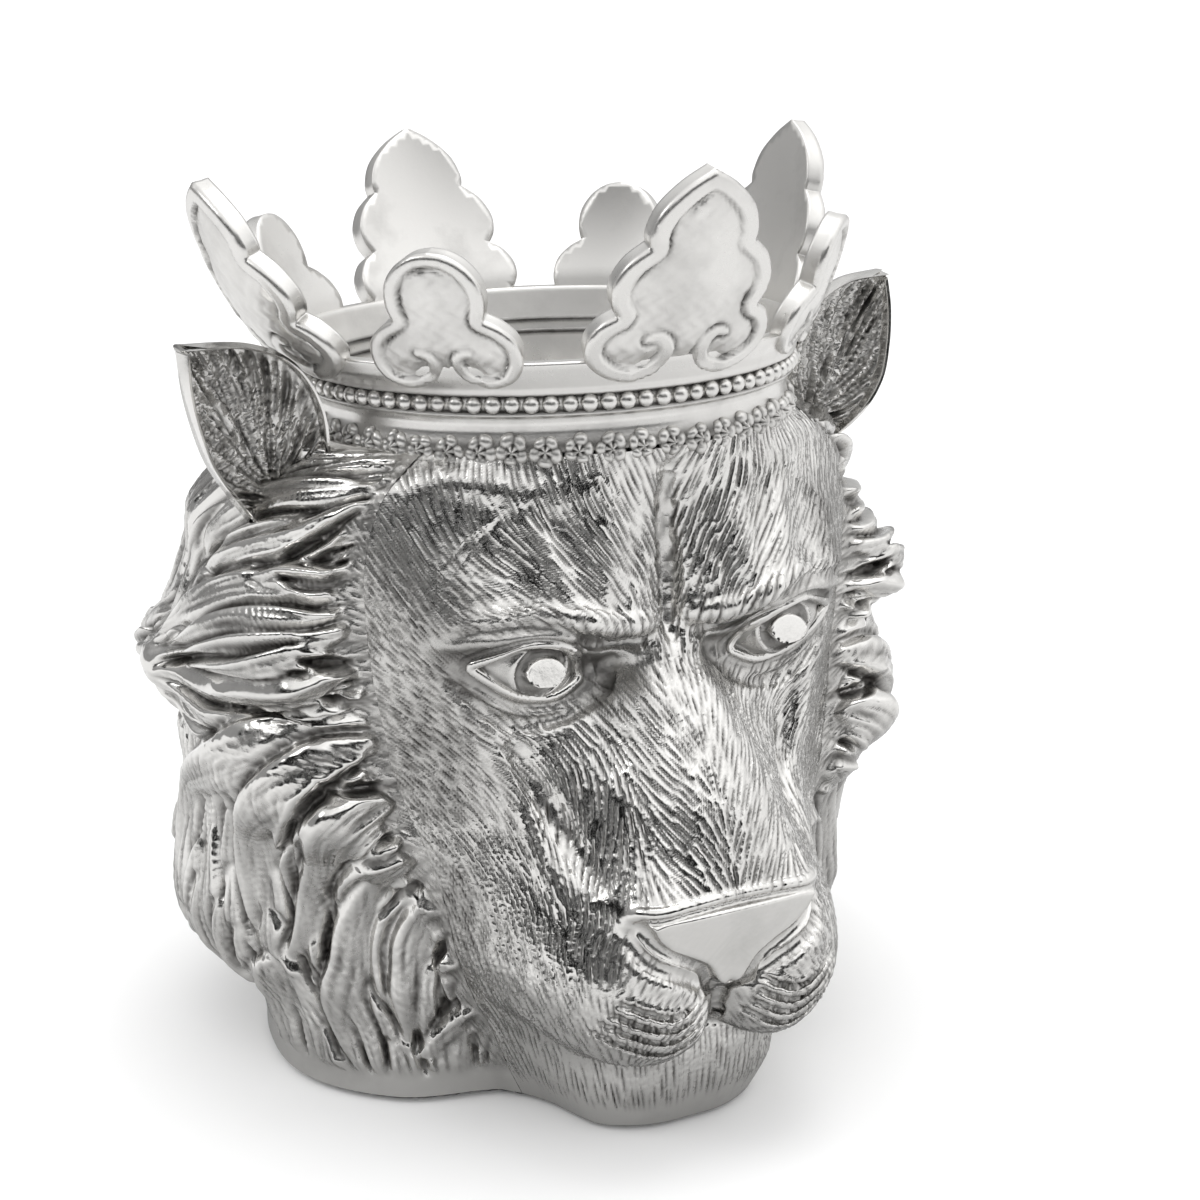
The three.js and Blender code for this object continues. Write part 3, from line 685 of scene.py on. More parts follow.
# The mane's radius before its locks: height, then the radius at shares of the way from the seam to the back.
MANE_SHARES = [0, 0.06, 0.18, 0.32, 0.45, 0.6, 0.78, 1]
MANE = [
    (2, 70, 86, 97, 97, 94, 90, 87),
    (13, 73, 88, 98, 97, 95, 91, 90),
    (22, 75, 89, 99, 99, 97, 94, 92),
    (27, 76, 90, 100, 103, 103, 99, 97),
    (32, 78, 92, 102, 112, 117, 110, 107),
    (39, 80, 94, 106, 119, 123, 117, 113),
    (52, 81, 95, 110, 122, 122, 119, 116),
    (70, 85, 98, 111, 120, 121, 120, 119),
    (88, 97, 106, 113, 118, 119, 120, 120),
    (101, 109, 115, 117, 119, 120, 120, 120),
    (111, 110, 115, 117, 119, 121, 120, 120),
    (122, 107, 113, 118, 128, 128, 121, 119),
    (131, 101, 109, 118, 132, 128, 121, 118),
    (138, 107, 115, 120, 128, 125, 119, 117),
    (150, 116, 119, 118, 120, 119, 117, 115),
    (165, 104, 107, 111, 115, 115, 113, 111),
    (180, 96, 102, 109, 114, 112, 108, 106),
    (195, 94, 98, 101, 103, 102, 99, 97),
    (205, 84, 88, 89, 89, 88, 87, 85),
    (211, 76, 78, 79, 79, 78, 76, 75),
]

# The large locks beside the face: half-width, height, then (azimuth, z) from root to tip.
LOCKS = [
    (7, 5, (62, 198), (70, 189), (78, 181), (88, 173), (100, 165)),
    (7.5, 5.5, (60, 172), (68, 172), (82, 167), (93, 158), (102, 148), (108, 133)),
    (5.5, 5, (56, 179), (62, 180), (67, 174), (76, 171), (85, 169)),
    (5.5, 5.5, (60, 167), (66, 164), (74, 161), (88, 152), (108, 132)),
    (6, 5.5, (60, 162), (68, 157), (84, 147), (98, 138), (109, 131)),
    (7, 6, (64, 150), (76, 140), (92, 132), (109, 130)),
    (6, 5, (62, 143), (74, 129), (90, 121), (108, 127)),
    (6.5, 5, (60, 134), (74, 120), (92, 112), (107, 120)),
    (8, 6, (56, 136), (66, 130), (84, 112), (103, 92), (109, 67), (109, 50)),
    (8, 6, (57, 130), (62, 124), (74, 106), (82, 92), (86, 78), (87, 64), (87, 52)),
    (4, 4, (62, 124), (57, 116), (53, 113), (48, 119)),
    (8, 6, (47, 108), (54, 110), (63, 100), (70, 82), (74, 70), (77, 56), (81, 44)),
    (3.5, 4, (47, 106), (51, 103), (56, 102)),
    (7, 5.5, (46, 101), (53, 97), (59, 86), (66, 76), (69, 64), (71, 50)),
    (6.5, 5, (62, 82), (66, 70), (68, 61), (69, 47), (72, 27), (70, 12)),
    (6.5, 5.5, (41, 82), (47, 76), (53, 69), (58, 58), (59, 44), (60, 20)),
    (4.5, 4.5, (39, 66), (44, 56), (49, 44), (50, 32)),
    (4, 4, (38, 52), (42, 44), (46, 34), (47, 24)),
    (4.5, 4, (42, 38), (49, 27), (58, 15)),
    (7.5, 3.5, (82, 46), (86, 28), (87, 12)),
]

# Deep lens-shaped slots between locks: half-width, depth, then (azimuth, z) from end to end.
SLOTS = [
    (2.6, 5, (108, 128), (96, 140), (83, 149), (69, 158)),
    (2.4, 4.5, (80, 177), (74, 183), (64, 196)),
    (2.2, 3.5, (79, 172), (70, 172), (62, 177)),
    (2.0, 3.5, (69, 154), (65, 150), (62, 152)),
    (1.8, 3.0, (68, 141), (64, 138), (61, 140)),
    (2.4, 4.0, (66, 114), (58, 111), (51, 114)),
    (1.8, 4.5, (80, 80), (69, 104), (61, 122)),
    (1.6, 2.4, (62, 90), (56, 93), (52, 91)),
    (1.6, 4.0, (64, 66), (56, 78), (50, 86)),
    (1.6, 3.5, (54, 48), (50, 60), (45, 68)),
]


TUFT_Z, TUFT_AWAY = 131.0, 108.0  # where the tuft's tip is: height, and millimetres from the seam


def seat_height(azimuth, radius):
    return SEAT_Z + math.tan(CROWN_TILT) * radius * np.cos(azimuth)


def mane_form(seam):
    """The left mane's smooth form, from the seam to the middle of the back."""
    seam_turn = np.arctan2(seam[:, 0], -seam[:, 1])
    seam_r = np.hypot(seam[:, 0], seam[:, 1])
    table = np.array(MANE, float)
    across = np.linspace(0, 1, 700)
    up = np.linspace(0, 1, 500)
    knots = np.arange(len(MANE_SHARES))
    at_column = np.interp(across ** 1.25, MANE_SHARES, knots)
    share = np.interp(at_column, knots, MANE_SHARES)
    out = np.empty((len(up), len(across), 3))
    for k, p in enumerate(up):
        guess = FOOT_Z + p * (SEAT_Z + 2 - FOOT_Z)
        start = np.interp(guess, seam[:, 2], seam_turn) + 0.0006
        turn = start + (math.pi - 0.001 - start) * share
        z = FOOT_Z + p * (seat_height(turn, 76.0) - FOOT_Z)
        below_seat = (SEAT_Z + 2 - seat_height(turn, 76.0)) * smooth(150, 198, z)
        at_row = np.interp(z + below_seat, table[:, 0], np.arange(len(table)))
        ring = flow_through(table[:, 1:], at_row)
        first = np.interp(z[0], seam[:, 2], seam_r)
        rings = np.concatenate([np.full((len(z), 1), first), ring], 1)
        low = np.minimum(at_column.astype(int), len(knots) - 2)
        t = at_column - low
        a, b, c, d = (rings[np.arange(len(z)), np.clip(low + s, 0, len(knots) - 1)] for s in (-1, 0, 1, 2))
        radius = b + 0.5 * t * (c - a + t * (2 * a - 5 * b + 4 * c - d + t * (3 * (b - c) + d - a)))
        out[k] = np.stack([radius * np.sin(turn), -radius * np.cos(turn), z], -1)
    return out


def mane_fall(away, z):
    """Degrees below 'straight away from the face' in which the mane's hair runs."""
    to_tuft = np.degrees(np.arctan2(z - TUFT_Z, np.maximum(TUFT_AWAY - away, 14)))
    high = to_tuft * (0.3 + 0.7 * smooth(0, 60, away))
    low = 18 + 66 * smooth(0, 62, away + 0.35 * (115 - z))
    side = low + (high - low) * smooth(104, 122, z)
    behind = 50 + 38 * smooth(175, 120, z)
    return side + (behind - side) * smooth(TUFT_AWAY - 6, TUFT_AWAY + 26, away)


def brush(sheet, line, reach):
    """The window of a sheet within reach of a line of (row, column), and where its points lie along the line."""
    path = curve(line, 30)
    middle = tuple(np.clip(np.rint(path[15]).astype(int), 0, [sheet.rows - 1, sheet.columns - 1]))
    mm = np.array([sheet.up_mm[middle], sheet.across_mm[middle]])
    low = np.maximum(np.floor(path.min(0) - reach / mm), 0).astype(int)
    high = np.minimum(np.ceil(path.max(0) + reach / mm) + 1, [sheet.rows, sheet.columns]).astype(int)
    high = np.maximum(high, low)
    window = np.s_[low[0]:high[0], low[1]:high[1]]
    ii, jj = np.mgrid[window]
    cells = np.stack([ii.ravel() * mm[0], jj.ravel() * mm[1]], 1)
    away, share, side = (v.reshape(ii.shape) for v in to_path(cells, path * mm))
    return window, away, share, side


def lay_lock(sheet, line, half_width, height, edge):
    """Lays one lock: a ramp of fine strands that rises to a crisp polished edge, with a dark cut beyond it."""
    window, away, share, side = brush(sheet, line, half_width + 4)
    if min(away.shape) < 3:
        return
    full = np.sin(math.pi * np.clip(share, 0, 1) ** 0.85) ** 0.65
    w = half_width * full + 0.3
    t = away * side * edge / w
    strands = max(2, round(half_width / 1.2))
    one, two, three = draws.uniform(0, 6, 3)
    bend = t + 0.16 * np.sin(5 * share + one) + 0.13 * np.sin(4.3 * t + two + 3 * share)
    bend += 0.07 * np.sin(9 * t + three - 5 * share)
    phase = 0.5 * strands * bend
    strand = bell(phase - np.rint(phase), 0.27) * smooth(1.2, 2.1, 2 * w / strands)
    soft = np.maximum(0.36, 1.9 / w)
    ramp = np.clip((1.0 + t) / 1.7, 0, 1) ** 0.8 * np.clip((1.1 - t) / soft, 0, 1) ** 0.9
    crest = height * full ** 0.8
    strength = 0.6 + 0.5 * np.sin(7 * t + two) * np.sin(6 * share + three)
    grooves = strand * smooth(0.9, 0.5, t) * smooth(0, 0.15, full) * np.clip(strength, 0.25, 1)
    inside = np.abs(t) < 1
    old = sheet.relief[window]
    if not inside.any():
        return
    lock = crest * ramp - 1.35 * grooves + 0.55 * old[inside].mean()
    laid = smooth(-1.05, -0.5, t) * smooth(w + 1.8, w - 0.4, away * side * edge) * smooth(0.05, 0.3, full)
    sheet.relief[window] = old + laid * (np.maximum(lock, old - 2.5) - old)
    shade = np.clip(0.3 + 0.7 * grooves, 0, 1) * smooth(0.8, 0.4, t)
    sheet.cut[window] += laid * (shade - sheet.cut[window])
    beyond = bell(away * side * edge - w - 1.5, 1.1) * smooth(0, 0.3, full) * (1 - laid)
    under = 0.4 * bell(away * side * edge + w + 0.4, 0.8) * smooth(0, 0.3, full) * (1 - laid)
    sheet.relief[window] -= 1.9 * beyond + under
    sheet.cut[window] = np.clip(np.maximum(sheet.cut[window], 1.2 * beyond + under), 0, 1)


def cut_slot(sheet, line, half_width, depth):
    """A dark lens-shaped slot with thin bright lips."""
    window, away, share, _ = brush(sheet, line, half_width + 5)
    w = half_width * np.sin(math.pi * np.clip(share, 0, 1)) ** 0.7 + 0.2
    t = away / w
    body = np.clip(1 - t ** 2, 0, 1)
    ends = smooth(0, 0.06, share) * smooth(1, 0.94, share)
    lip = bell(away - w - 0.9, 0.8) * ends
    sheet.relief[window] += 1.1 * lip - depth * body * (w > 0.5)
    sheet.cut[window] = np.clip(np.maximum(sheet.cut[window] * (1 - lip), 1.3 * body), 0, 1)


def trace(sheet, steps, row, column, length, count=12):
    line = [(row, column)]
    for _ in range(count):
        r = min(max(int(row), 0), sheet.rows - 1)
        c = min(max(int(column), 0), sheet.columns - 1)
        row += steps[1][r, c] * length / count
        column += steps[0][r, c] * length / count
        line.append((row, column))
    return np.array(line[::2] if len(line) > 8 else line)


def mane_sheet(seam):
    sheet = Sheet(even_grid(mane_form(seam), 0.56))
    z = sheet.base[..., 2]
    turn = np.degrees(np.arctan2(sheet.base[..., 0], -sheet.base[..., 1]))
    away = np.cumsum(sheet.across_mm, axis=1)
    fall = np.radians(mane_fall(away, z))
    steps = (np.cos(fall) / sheet.across_mm, -np.sin(fall) / sheet.up_mm)
    sheet.relief[:] = 1.0 * streaks(z.shape, steps, 21, reach=24, coarse=3)
    sheet.cut[:] = np.clip(0.45 - 0.35 * sheet.relief, 0, 1)
    for layer in np.arange(226, 4, -24.0):
        for level in np.arange(206, 14, -12.0):
            start_away = layer + draws.uniform(-9, 9)
            start_z = level + draws.uniform(-5, 5)
            gap = (away - start_away) ** 2 + (z - start_z) ** 2
            row, column = np.unravel_index(np.argmin(gap), gap.shape)
            small = 0.7 + 0.3 * smooth(30, 60, start_z)
            line = trace(sheet, steps, float(row), float(column), draws.uniform(50, 84) * small)
            edge = -1 if draws.uniform() < 0.7 else 1
            lay_lock(sheet, line, draws.uniform(3.6, 8) * small, draws.uniform(2.4, 5.0) * small, edge)
    for shapes, lay in ((LOCKS, lay_lock), (SLOTS, cut_slot)):
        for half_width, height, *spots in shapes:
            line = []
            for spot_turn, spot_z in spots:
                gap = ((turn - spot_turn) * 1.9) ** 2 + (z - spot_z) ** 2
                line.append(np.unravel_index(np.argmin(gap), gap.shape))
            line = np.array(line, float)
            lay(sheet, line, half_width, height, *([-1] if lay is lay_lock else []))
    limit = np.where(sheet.relief < 0, 3.3, 8.0)  # the cuts stay inside the wall
    sheet.relief = limit * np.tanh(blur(draw_out(sheet.relief, steps, 4)) / limit)
    sheet.cut = draw_out(sheet.cut, steps, 3)
    sheet.relief *= 1 - 0.7 * smooth(34, 20, z) * smooth(86, 102, turn)
    tip = bell(np.hypot((turn - 107) * 1.9, z - TUFT_Z), 7.0)
    sheet.relief += tip * (5.5 - sheet.relief)
    sheet.cut *= 1 - tip
    strands = blur(streaks(z.shape, steps, 22, reach=24))
    sheet.relief += (0.12 + 0.36 * sheet.cut) * strands
    sheet.cut -= (0.06 + 0.3 * sheet.cut) * strands
    ragged = 5 + 3.5 * np.sin(0.21 * z) * np.sin(0.13 * z + 1) + 1.5 * np.sin(0.7 * z)
    near = smooth(ragged + 4, ragged, away)
    sheet.relief *= 1 - 0.9 * near
    lean = np.radians(np.interp(z, [20, 80, 110, 150, 190], [15, 25, 60, 72, 45]))
    along = (np.sin(lean) / sheet.across_mm, np.cos(lean) / sheet.up_mm)
    comb(sheet, along, (away < ragged + 4) & (z > 14), np.full_like(z, 6.5), np.full_like(z, 1.2),
         0.4 * near, np.full_like(z, 0.5), 23)
    top = seat_height(np.radians(turn), 76.0)
    fade = smooth(8, 14, z) * smooth(0.5, 4, top - z) * smooth(-0.6, 1.6, away)
    sheet.relief *= fade
    sheet.cut = np.clip(sheet.cut * (1 - 0.5 * near) + 0.4 * near, 0, 1) * smooth(8, 14, z) * smooth(0.5, 4, top - z)
    return sheet, fade


def build_mane(seam):
    sheet, fade = mane_sheet(seam)
    outer = sheet.finish()
    wall = np.concatenate([sheet.base[::9], sheet.base[-1:]], 0)[:, ::9]
    wall = wall - unit(wall * [1, 1, 0]) * WALL
    points, faces = shell(outer, wall)
    valley = np.clip((blur(sheet.relief, 12) - sheet.relief) * 0.4, -0.3, 1)
    hollow = np.clip(0.7 * sheet.cut + 0.6 * valley, 0, 1)
    hollow = np.concatenate([hollow.ravel(), np.full(wall.shape[0] * wall.shape[1], 0.6)])
    for side, name in ((1, "left"), (-1, "right")):
        item = make_mesh("mane_locks_" + name, points * [side, 1, 1], faces, casting,
                         {"hollow": hollow}, turn_over=side < 0, crisp=True)
        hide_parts("mane_casting_" + name)
        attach(item, "head")
    return sheet.base


# ---- Crown ----------------------------------------------------------------------------------

BAND = [  # outside and inside of the crown's band as (radius, height above its seat), anticlockwise
    (69.5, -8), (69.5, 0.3), (74.6, 0.3), (76.0, 0.8), (76.3, 2.6), (75.4, 4.6), (74.9, 6.5), (75.0, 9),
    (75.9, 11), (77.1, 11.6), (77.2, 12.3), (76.2, 12.9), (76.2, 17.1), (77.6, 17.7), (78.0, 18.4),
    (78.1, 19.6), (79.4, 22), (81.6, 26), (82.2, 27.4), (81.6, 28), (77.6, 28), (77.0, 27.2), (74.4, 18),
    (71.6, 6), (70.6, 0.6), (66.5, 0), (66.5, -8),
]
BEADS, BEAD_R, BEAD_Z = 86, 2.65, 15.0
FLOWERS, FLOWER_R, FLOWER_Z = 50, 5.0, 1.2
POINT_WALL = 5.0
ROOT_Z, ROOT_R = 20.5, 79.2  # where the points' lower edges lie on the band
SAG_TURN, SAG = math.radians(-90), 6.0  # the band spreads this much further on the lion's right

# The points round the crown: azimuth, and the outward lean at the root and at the tip.
LEAVES = [(0, 30, 13), (90, 24, 8), (180, 30, 13), (-90, 40, 12)]
TREFOILS = [(-47.5, 30, 12), (45, 30, 12), (135, 30, 12), (-135, 34, 14)]

# Right halves of the points' outlines, (across, up) from the bottom middle to the tip.
LEAF = [(0, 1.2), (4, 1.0), (9, 0.4), (15, 0), (23, 2.6), (28.8, 8.5), (29.4, 15), (26.2, 20.5), (22, 23.2),
        (24, 27), (24.2, 33), (21, 39.5), (15.6, 44.2), (15.8, 48), (13.2, 55), (7, 61.5), (0, 66)]
TREFOIL = [(0, 1.0), (3.5, 0.8), (8, 0.3), (13, 0), (18.6, 2.6), (21.6, 8.6), (20.8, 15.4), (17, 20.2),
           (12.6, 23), (13.6, 28), (12.8, 34), (9.4, 39.4), (4.8, 42.6), (0, 43.6)]
LEAF_CURL = [(21, 2.4), (14, 2.2), (8.6, 4.0), (6.0, 8.2), (6.2, 13), (9.2, 15.8), (12.0, 15)]
TREFOIL_CURL = [(14, 2.0), (9.4, 1.8), (5.0, 4.0), (3.4, 8.0), (4.2, 11.4), (7.0, 12.6)]
SHARP_CORNERS = {"leaf": (0, 8, 12, 16), "trefoil": (0, 8)}


def cornered(points, corners, per_leg=7):
    """A line that is smooth between the corners and turns sharply at them."""
    stops = sorted(set([0, *corners, len(points) - 1]))
    out = []
    for a, b in zip(stops[:-1], stops[1:]):
        piece = flow_through(points[a:b + 1], np.linspace(0, b - a, (b - a) * per_leg + 1))
        out.append(piece[:-1])
    out.append(np.array(points[-1:], float))
    return np.vstack(out)


def fill_outline(outline, spacing):
    """Triangles that fill a closed outline, on its own points and a lattice inside it."""
    low, high = outline.min(0), outline.max(0)
    s, t = np.meshgrid(np.arange(low[0], high[0], spacing), np.arange(low[1], high[1], spacing))
    s[1::2] += spacing / 2
    gap = inside_distance(s, t, outline)
    keep = gap < -0.55 * spacing
    spots = np.concatenate([outline, np.stack([s[keep], t[keep]], 1)])
    count = len(outline)
    edges = [(k, (k + 1) % count) for k in range(count)]
    verts, _, faces, *_ = delaunay_2d_cdt([Vector(p) for p in spots], edges, [], 1, 1e-5)
    return np.array([tuple(v) for v in verts]), np.array([tuple(f) for f in faces])


def band_sag(turn, z):
    """How much further out the band stands where it has spread."""
    off = (turn - SAG_TURN + math.pi) % (2 * math.pi) - math.pi
    return SAG * bell(off, 0.6) * smooth(16.5, 24, z)


class Flare:
    """The curved face one of the crown's points lies on: it leans out most at its root."""

    def __init__(self, turn, low, high, height):
        self.turn = math.radians(turn)
        self.low = math.radians(low)
        self.rate = math.radians(high - low) / height

    def place(self, across, up, out):
        lean = self.low + self.rate * np.maximum(up, 0)
        ahead = (math.cos(self.low) - np.cos(lean)) / self.rate + np.minimum(up, 0) * math.sin(self.low)
        rise = (np.sin(lean) - math.sin(self.low)) / self.rate + np.minimum(up, 0) * math.cos(self.low)
        radius = ROOT_R + ahead + out * np.cos(lean)
        turn = self.turn + across / (ROOT_R + 0.5 * ahead)
        radius = radius + band_sag(turn, 24)
        return np.stack([radius * np.sin(turn), -radius * np.cos(turn), ROOT_Z + rise - out * np.sin(lean)], -1)


def crown_point(flare, half, corners, curl, rim):
    """One of the crown's points: bordered, with a sunk field and a scroll in each lower lobe."""
    side = cornered(half, corners)
    outline = np.vstack([side, side[-2:0:-1] * [-1, 1]])
    flat, triangles = fill_outline(outline, 0.85)
    depth = -inside_distance(flat[:, 0], flat[:, 1], outline)
    depth[:len(outline)] = 0
    scroll, along, _ = to_path(np.abs(flat), curve(curl, 40))
    width = 0.5 * rim * (1 - 0.55 * along ** 2)
    gate = 1 - smooth(curl[1][0] + 2, curl[1][0] - 2, np.abs(flat[:, 0])) * smooth(curl[4][1], 2, flat[:, 1])
    border = smooth(rim + 0.9, rim - 0.1, depth) * gate
    border = np.maximum(border, smooth(width + 0.8, width - 0.1, scroll))
    uneven = 0.6 + 0.4 * np.sin(0.5 * flat[:, 0] + 0.31 * flat[:, 1] + rim)
    edge = np.maximum(bell(depth - rim - 0.8, 0.6) * gate, bell(scroll - width - 0.8, 0.6)) * uneven
    edge *= 1 - border
    relief = 1.5 * smooth(-0.6, 1.1, depth) * np.maximum(gate, 0.15) + 1.3 * border - 1.5 - 0.9 * edge
    relief += 1.1 * smooth(2, 14, depth) * (1 - border) * smooth(0, 12, flat[:, 1])
    relief += 0.1 * np.sin(flat[:, 0] * 1.3 + 2 * np.sin(flat[:, 1])) * (1 - border)
    front = flare.place(flat[:, 0], flat[:, 1], relief)
    hollow = np.clip(0.1 * (1 - border) + 0.95 * edge, 0, 1)
    count = len(outline)
    points, parts, marks = [front], [triangles], [hollow]
    ring = list(range(count))
    for sink, pull in ((-0.9, 0.0), (-2.5, 0.12), (-4.2, 0.0)):
        inset = outline - pull * unit(outline - outline.mean(0))
        points.append(flare.place(inset[:, 0], inset[:, 1], sink))
        marks.append(np.zeros(count))
        first = sum(len(p) for p in points[:-1])
        below = list(range(first, first + count))
        parts.append(np.array([(ring[k - 1], below[k - 1], below[k], ring[k]) for k in range(count)]))
        ring = below
    back, back_faces = fill_outline(outline, 2.2)
    first = sum(len(p) for p in points)
    points.append(flare.place(back[:, 0], back[:, 1], 1.6 * smooth(12, 0, back[:, 1]) - POINT_WALL))
    marks.append(np.full(len(back), 0.0))
    below = list(range(first, first + count))
    parts.append(np.array([(ring[k - 1], below[k - 1], below[k], ring[k]) for k in range(count)]))
    parts.append(back_faces[:, ::-1] + first)
    return np.vstack(points), parts, np.concatenate(marks)


def crown_band():
    """The band, turned from its section, with the slight unevenness of a hand-finished casting."""
    section = np.vstack([np.array(BAND, float), BAND[:1]])
    ring = spread(section[None], 150)[0][:-1]
    sides = 540
    turn = np.linspace(0, 2 * math.pi, sides, endpoint=False)
    wobble = 0.12 * np.sin(7 * turn + 1) + 0.08 * np.sin(19 * turn)
    radius = ring[:, :1] + wobble * (ring[:, 1:] > 1) + band_sag(turn, ring[:, 1:])
    points = np.stack([radius * np.sin(turn), -radius * np.cos(turn), ring[:, 1:] + 0 * turn], -1)
    faces = grid_faces(len(ring), sides, closed=True)
    seam = np.arange(sides)
    last = (len(ring) - 1) * sides
    close = np.stack([seam + last, (seam + 1) % sides + last, (seam + 1) % sides, seam], -1)
    outside = (ring[:, 0] > 73) & (ring[:, 1] > 0.2)
    groove = bell(ring[:, 1] - 13, 0.8) + bell(ring[:, 1] - 17, 0.8) + 0.8 * bell(ring[:, 1] - 2.5, 2.6)
    hollow = np.repeat((groove * outside)[:, None], sides, 1)
    return points.reshape(-1, 3), [faces, close], hollow.ravel()


def ball(radius, squash):
    """A bead, flattened on the axis it stands on (x)."""
    rows, columns = 9, 14
    lat = np.linspace(-math.pi / 2 + 0.02, math.pi / 2 - 0.02, rows)[:, None]
    lon = np.linspace(0, 2 * math.pi, columns, endpoint=False)
    grid = np.stack([squash * np.sin(lat) + 0 * lon, np.cos(lat) * np.cos(lon), np.cos(lat) * np.sin(lon)], -1)
    caps = [np.arange(columns)[None, ::-1], np.arange(columns)[None] + (rows - 1) * columns]
    return grid.reshape(-1, 3) * radius, [grid_faces(rows, columns, closed=True), *caps]


def flower(radius):
    """A five-petalled flower with a round middle, facing along x."""
    rows, columns = 9, 40
    share = np.linspace(0.04, 1, rows)[:, None]
    turn = np.linspace(0, 2 * math.pi, columns, endpoint=False)
    lobe = np.abs(np.cos(2.5 * turn))
    uneven = 1 + 0.1 * np.sin(turn + draws.uniform(0, 6)) + 0.06 * np.sin(3 * turn + draws.uniform(0, 6))
    reach = share * (0.8 + 0.2 * lobe ** 0.5) * radius * uneven
    petal = (1 - share ** 3) ** 0.5 * (0.35 + 0.65 * lobe ** 0.6)
    dome = 1.7 * petal + 0.7 * bell(share, 0.2) - 0.9 * bell(share - 0.36, 0.1)
    marks = np.clip(0.3 + 0.8 * (0.5 - lobe) + 0.5 * bell(share - 0.36, 0.1), 0.15, 1)
    grid = np.stack([dome + 0 * turn, reach * np.sin(turn), reach * np.cos(turn)], -1)
    base = grid[-1] * [0, 1, 1] - [1.5, 0, 0]
    points = np.vstack([grid.reshape(-1, 3), base])
    foot = np.arange(columns) + rows * columns
    edge = foot - columns
    skirt = np.stack([edge, np.roll(edge, -1), np.roll(foot, -1), foot], -1)
    marks = np.concatenate([marks.ravel(), np.ones(columns)])
    return points, [grid_faces(rows, columns, closed=True), skirt, np.arange(columns)[None, ::-1], foot[None]], marks


def on_ring(points, turn, radius, z):
    """Moves points made round the origin, facing x, out to a place on the crown's ring."""
    facing = np.array([[math.sin(turn), -math.cos(turn), 0], [math.cos(turn), math.sin(turn), 0], [0, 0, 1]])
    return points @ facing + [radius * math.sin(turn), -radius * math.cos(turn), z]


def tilt_crown(points):
    c, s = math.cos(-CROWN_TILT), math.sin(-CROWN_TILT)
    y, z = points[:, 1], points[:, 2]
    return np.stack([points[:, 0], y * c - z * s, y * s + z * c + SEAT_Z], -1)


def build_crown():
    parts = [crown_band()]
    for turn, low, high in LEAVES:
        parts.append(crown_point(Flare(turn, low, high, 66), LEAF, SHARP_CORNERS["leaf"], LEAF_CURL, 4.6))
    for turn, low, high in TREFOILS:
        parts.append(crown_point(Flare(turn, low, high, 44), TREFOIL, SHARP_CORNERS["trefoil"], TREFOIL_CURL, 3.4))
    for k in range(BEADS):
        points, faces = ball(BEAD_R * draws.uniform(0.93, 1.04), 0.85)
        place = on_ring(points, (k + 0.5) * 2 * math.pi / BEADS, 76.7, BEAD_Z + draws.uniform(-0.12, 0.12))
        parts.append((place, faces, np.zeros(len(points))))
    for k in range(FLOWERS):
        points, faces, marks = flower(FLOWER_R * draws.uniform(0.9, 1.05))
        spin = draws.uniform(0, 1.2)
        turned = points @ np.array([[1, 0, 0], [0, math.cos(spin), -math.sin(spin)], [0, math.sin(spin), math.cos(spin)]])
        turn = k * 2 * math.pi / FLOWERS
        parts.append((on_ring(turned, turn, 76.0, FLOWER_Z), faces, marks))
    points, faces, marks, first = [], [], [], 0
    for place, tiles, hollow in parts:
        points.append(place)
        faces += [np.asarray(t) + first for t in tiles]
        marks.append(hollow)
        first += len(place)
    points, marks = np.vstack(points), np.concatenate(marks)
    inside = np.hypot(points[:, 0], points[:, 1]) < 79.5 + 0.45 * np.maximum(points[:, 2] - 28, 0)
    satin = np.where(inside & (points[:, 2] > 17.8), 1.0, 0.6)
    item = make_mesh("crown_band_and_points", tilt_crown(points), faces, casting, {"hollow": marks, "satin": satin})
    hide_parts("crown")
    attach(item, "head")


# ---- Ears -----------------------------------------------------------------------------------

EAR_INNER = [(78, -6, 190), (80, -13, 206), (83, -15, 222), (91, -14, 235), (105, -12, 241.5), (123, -9.5, 242)]
EAR_OUTER = [(104, -6, 184), (113, -13, 195), (120, -14, 206), (123.5, -12.5, 218), (125, -10.5, 230), (124.5, -9, 240)]
EAR_CUP, EAR_WALL = 12.0, 3.8


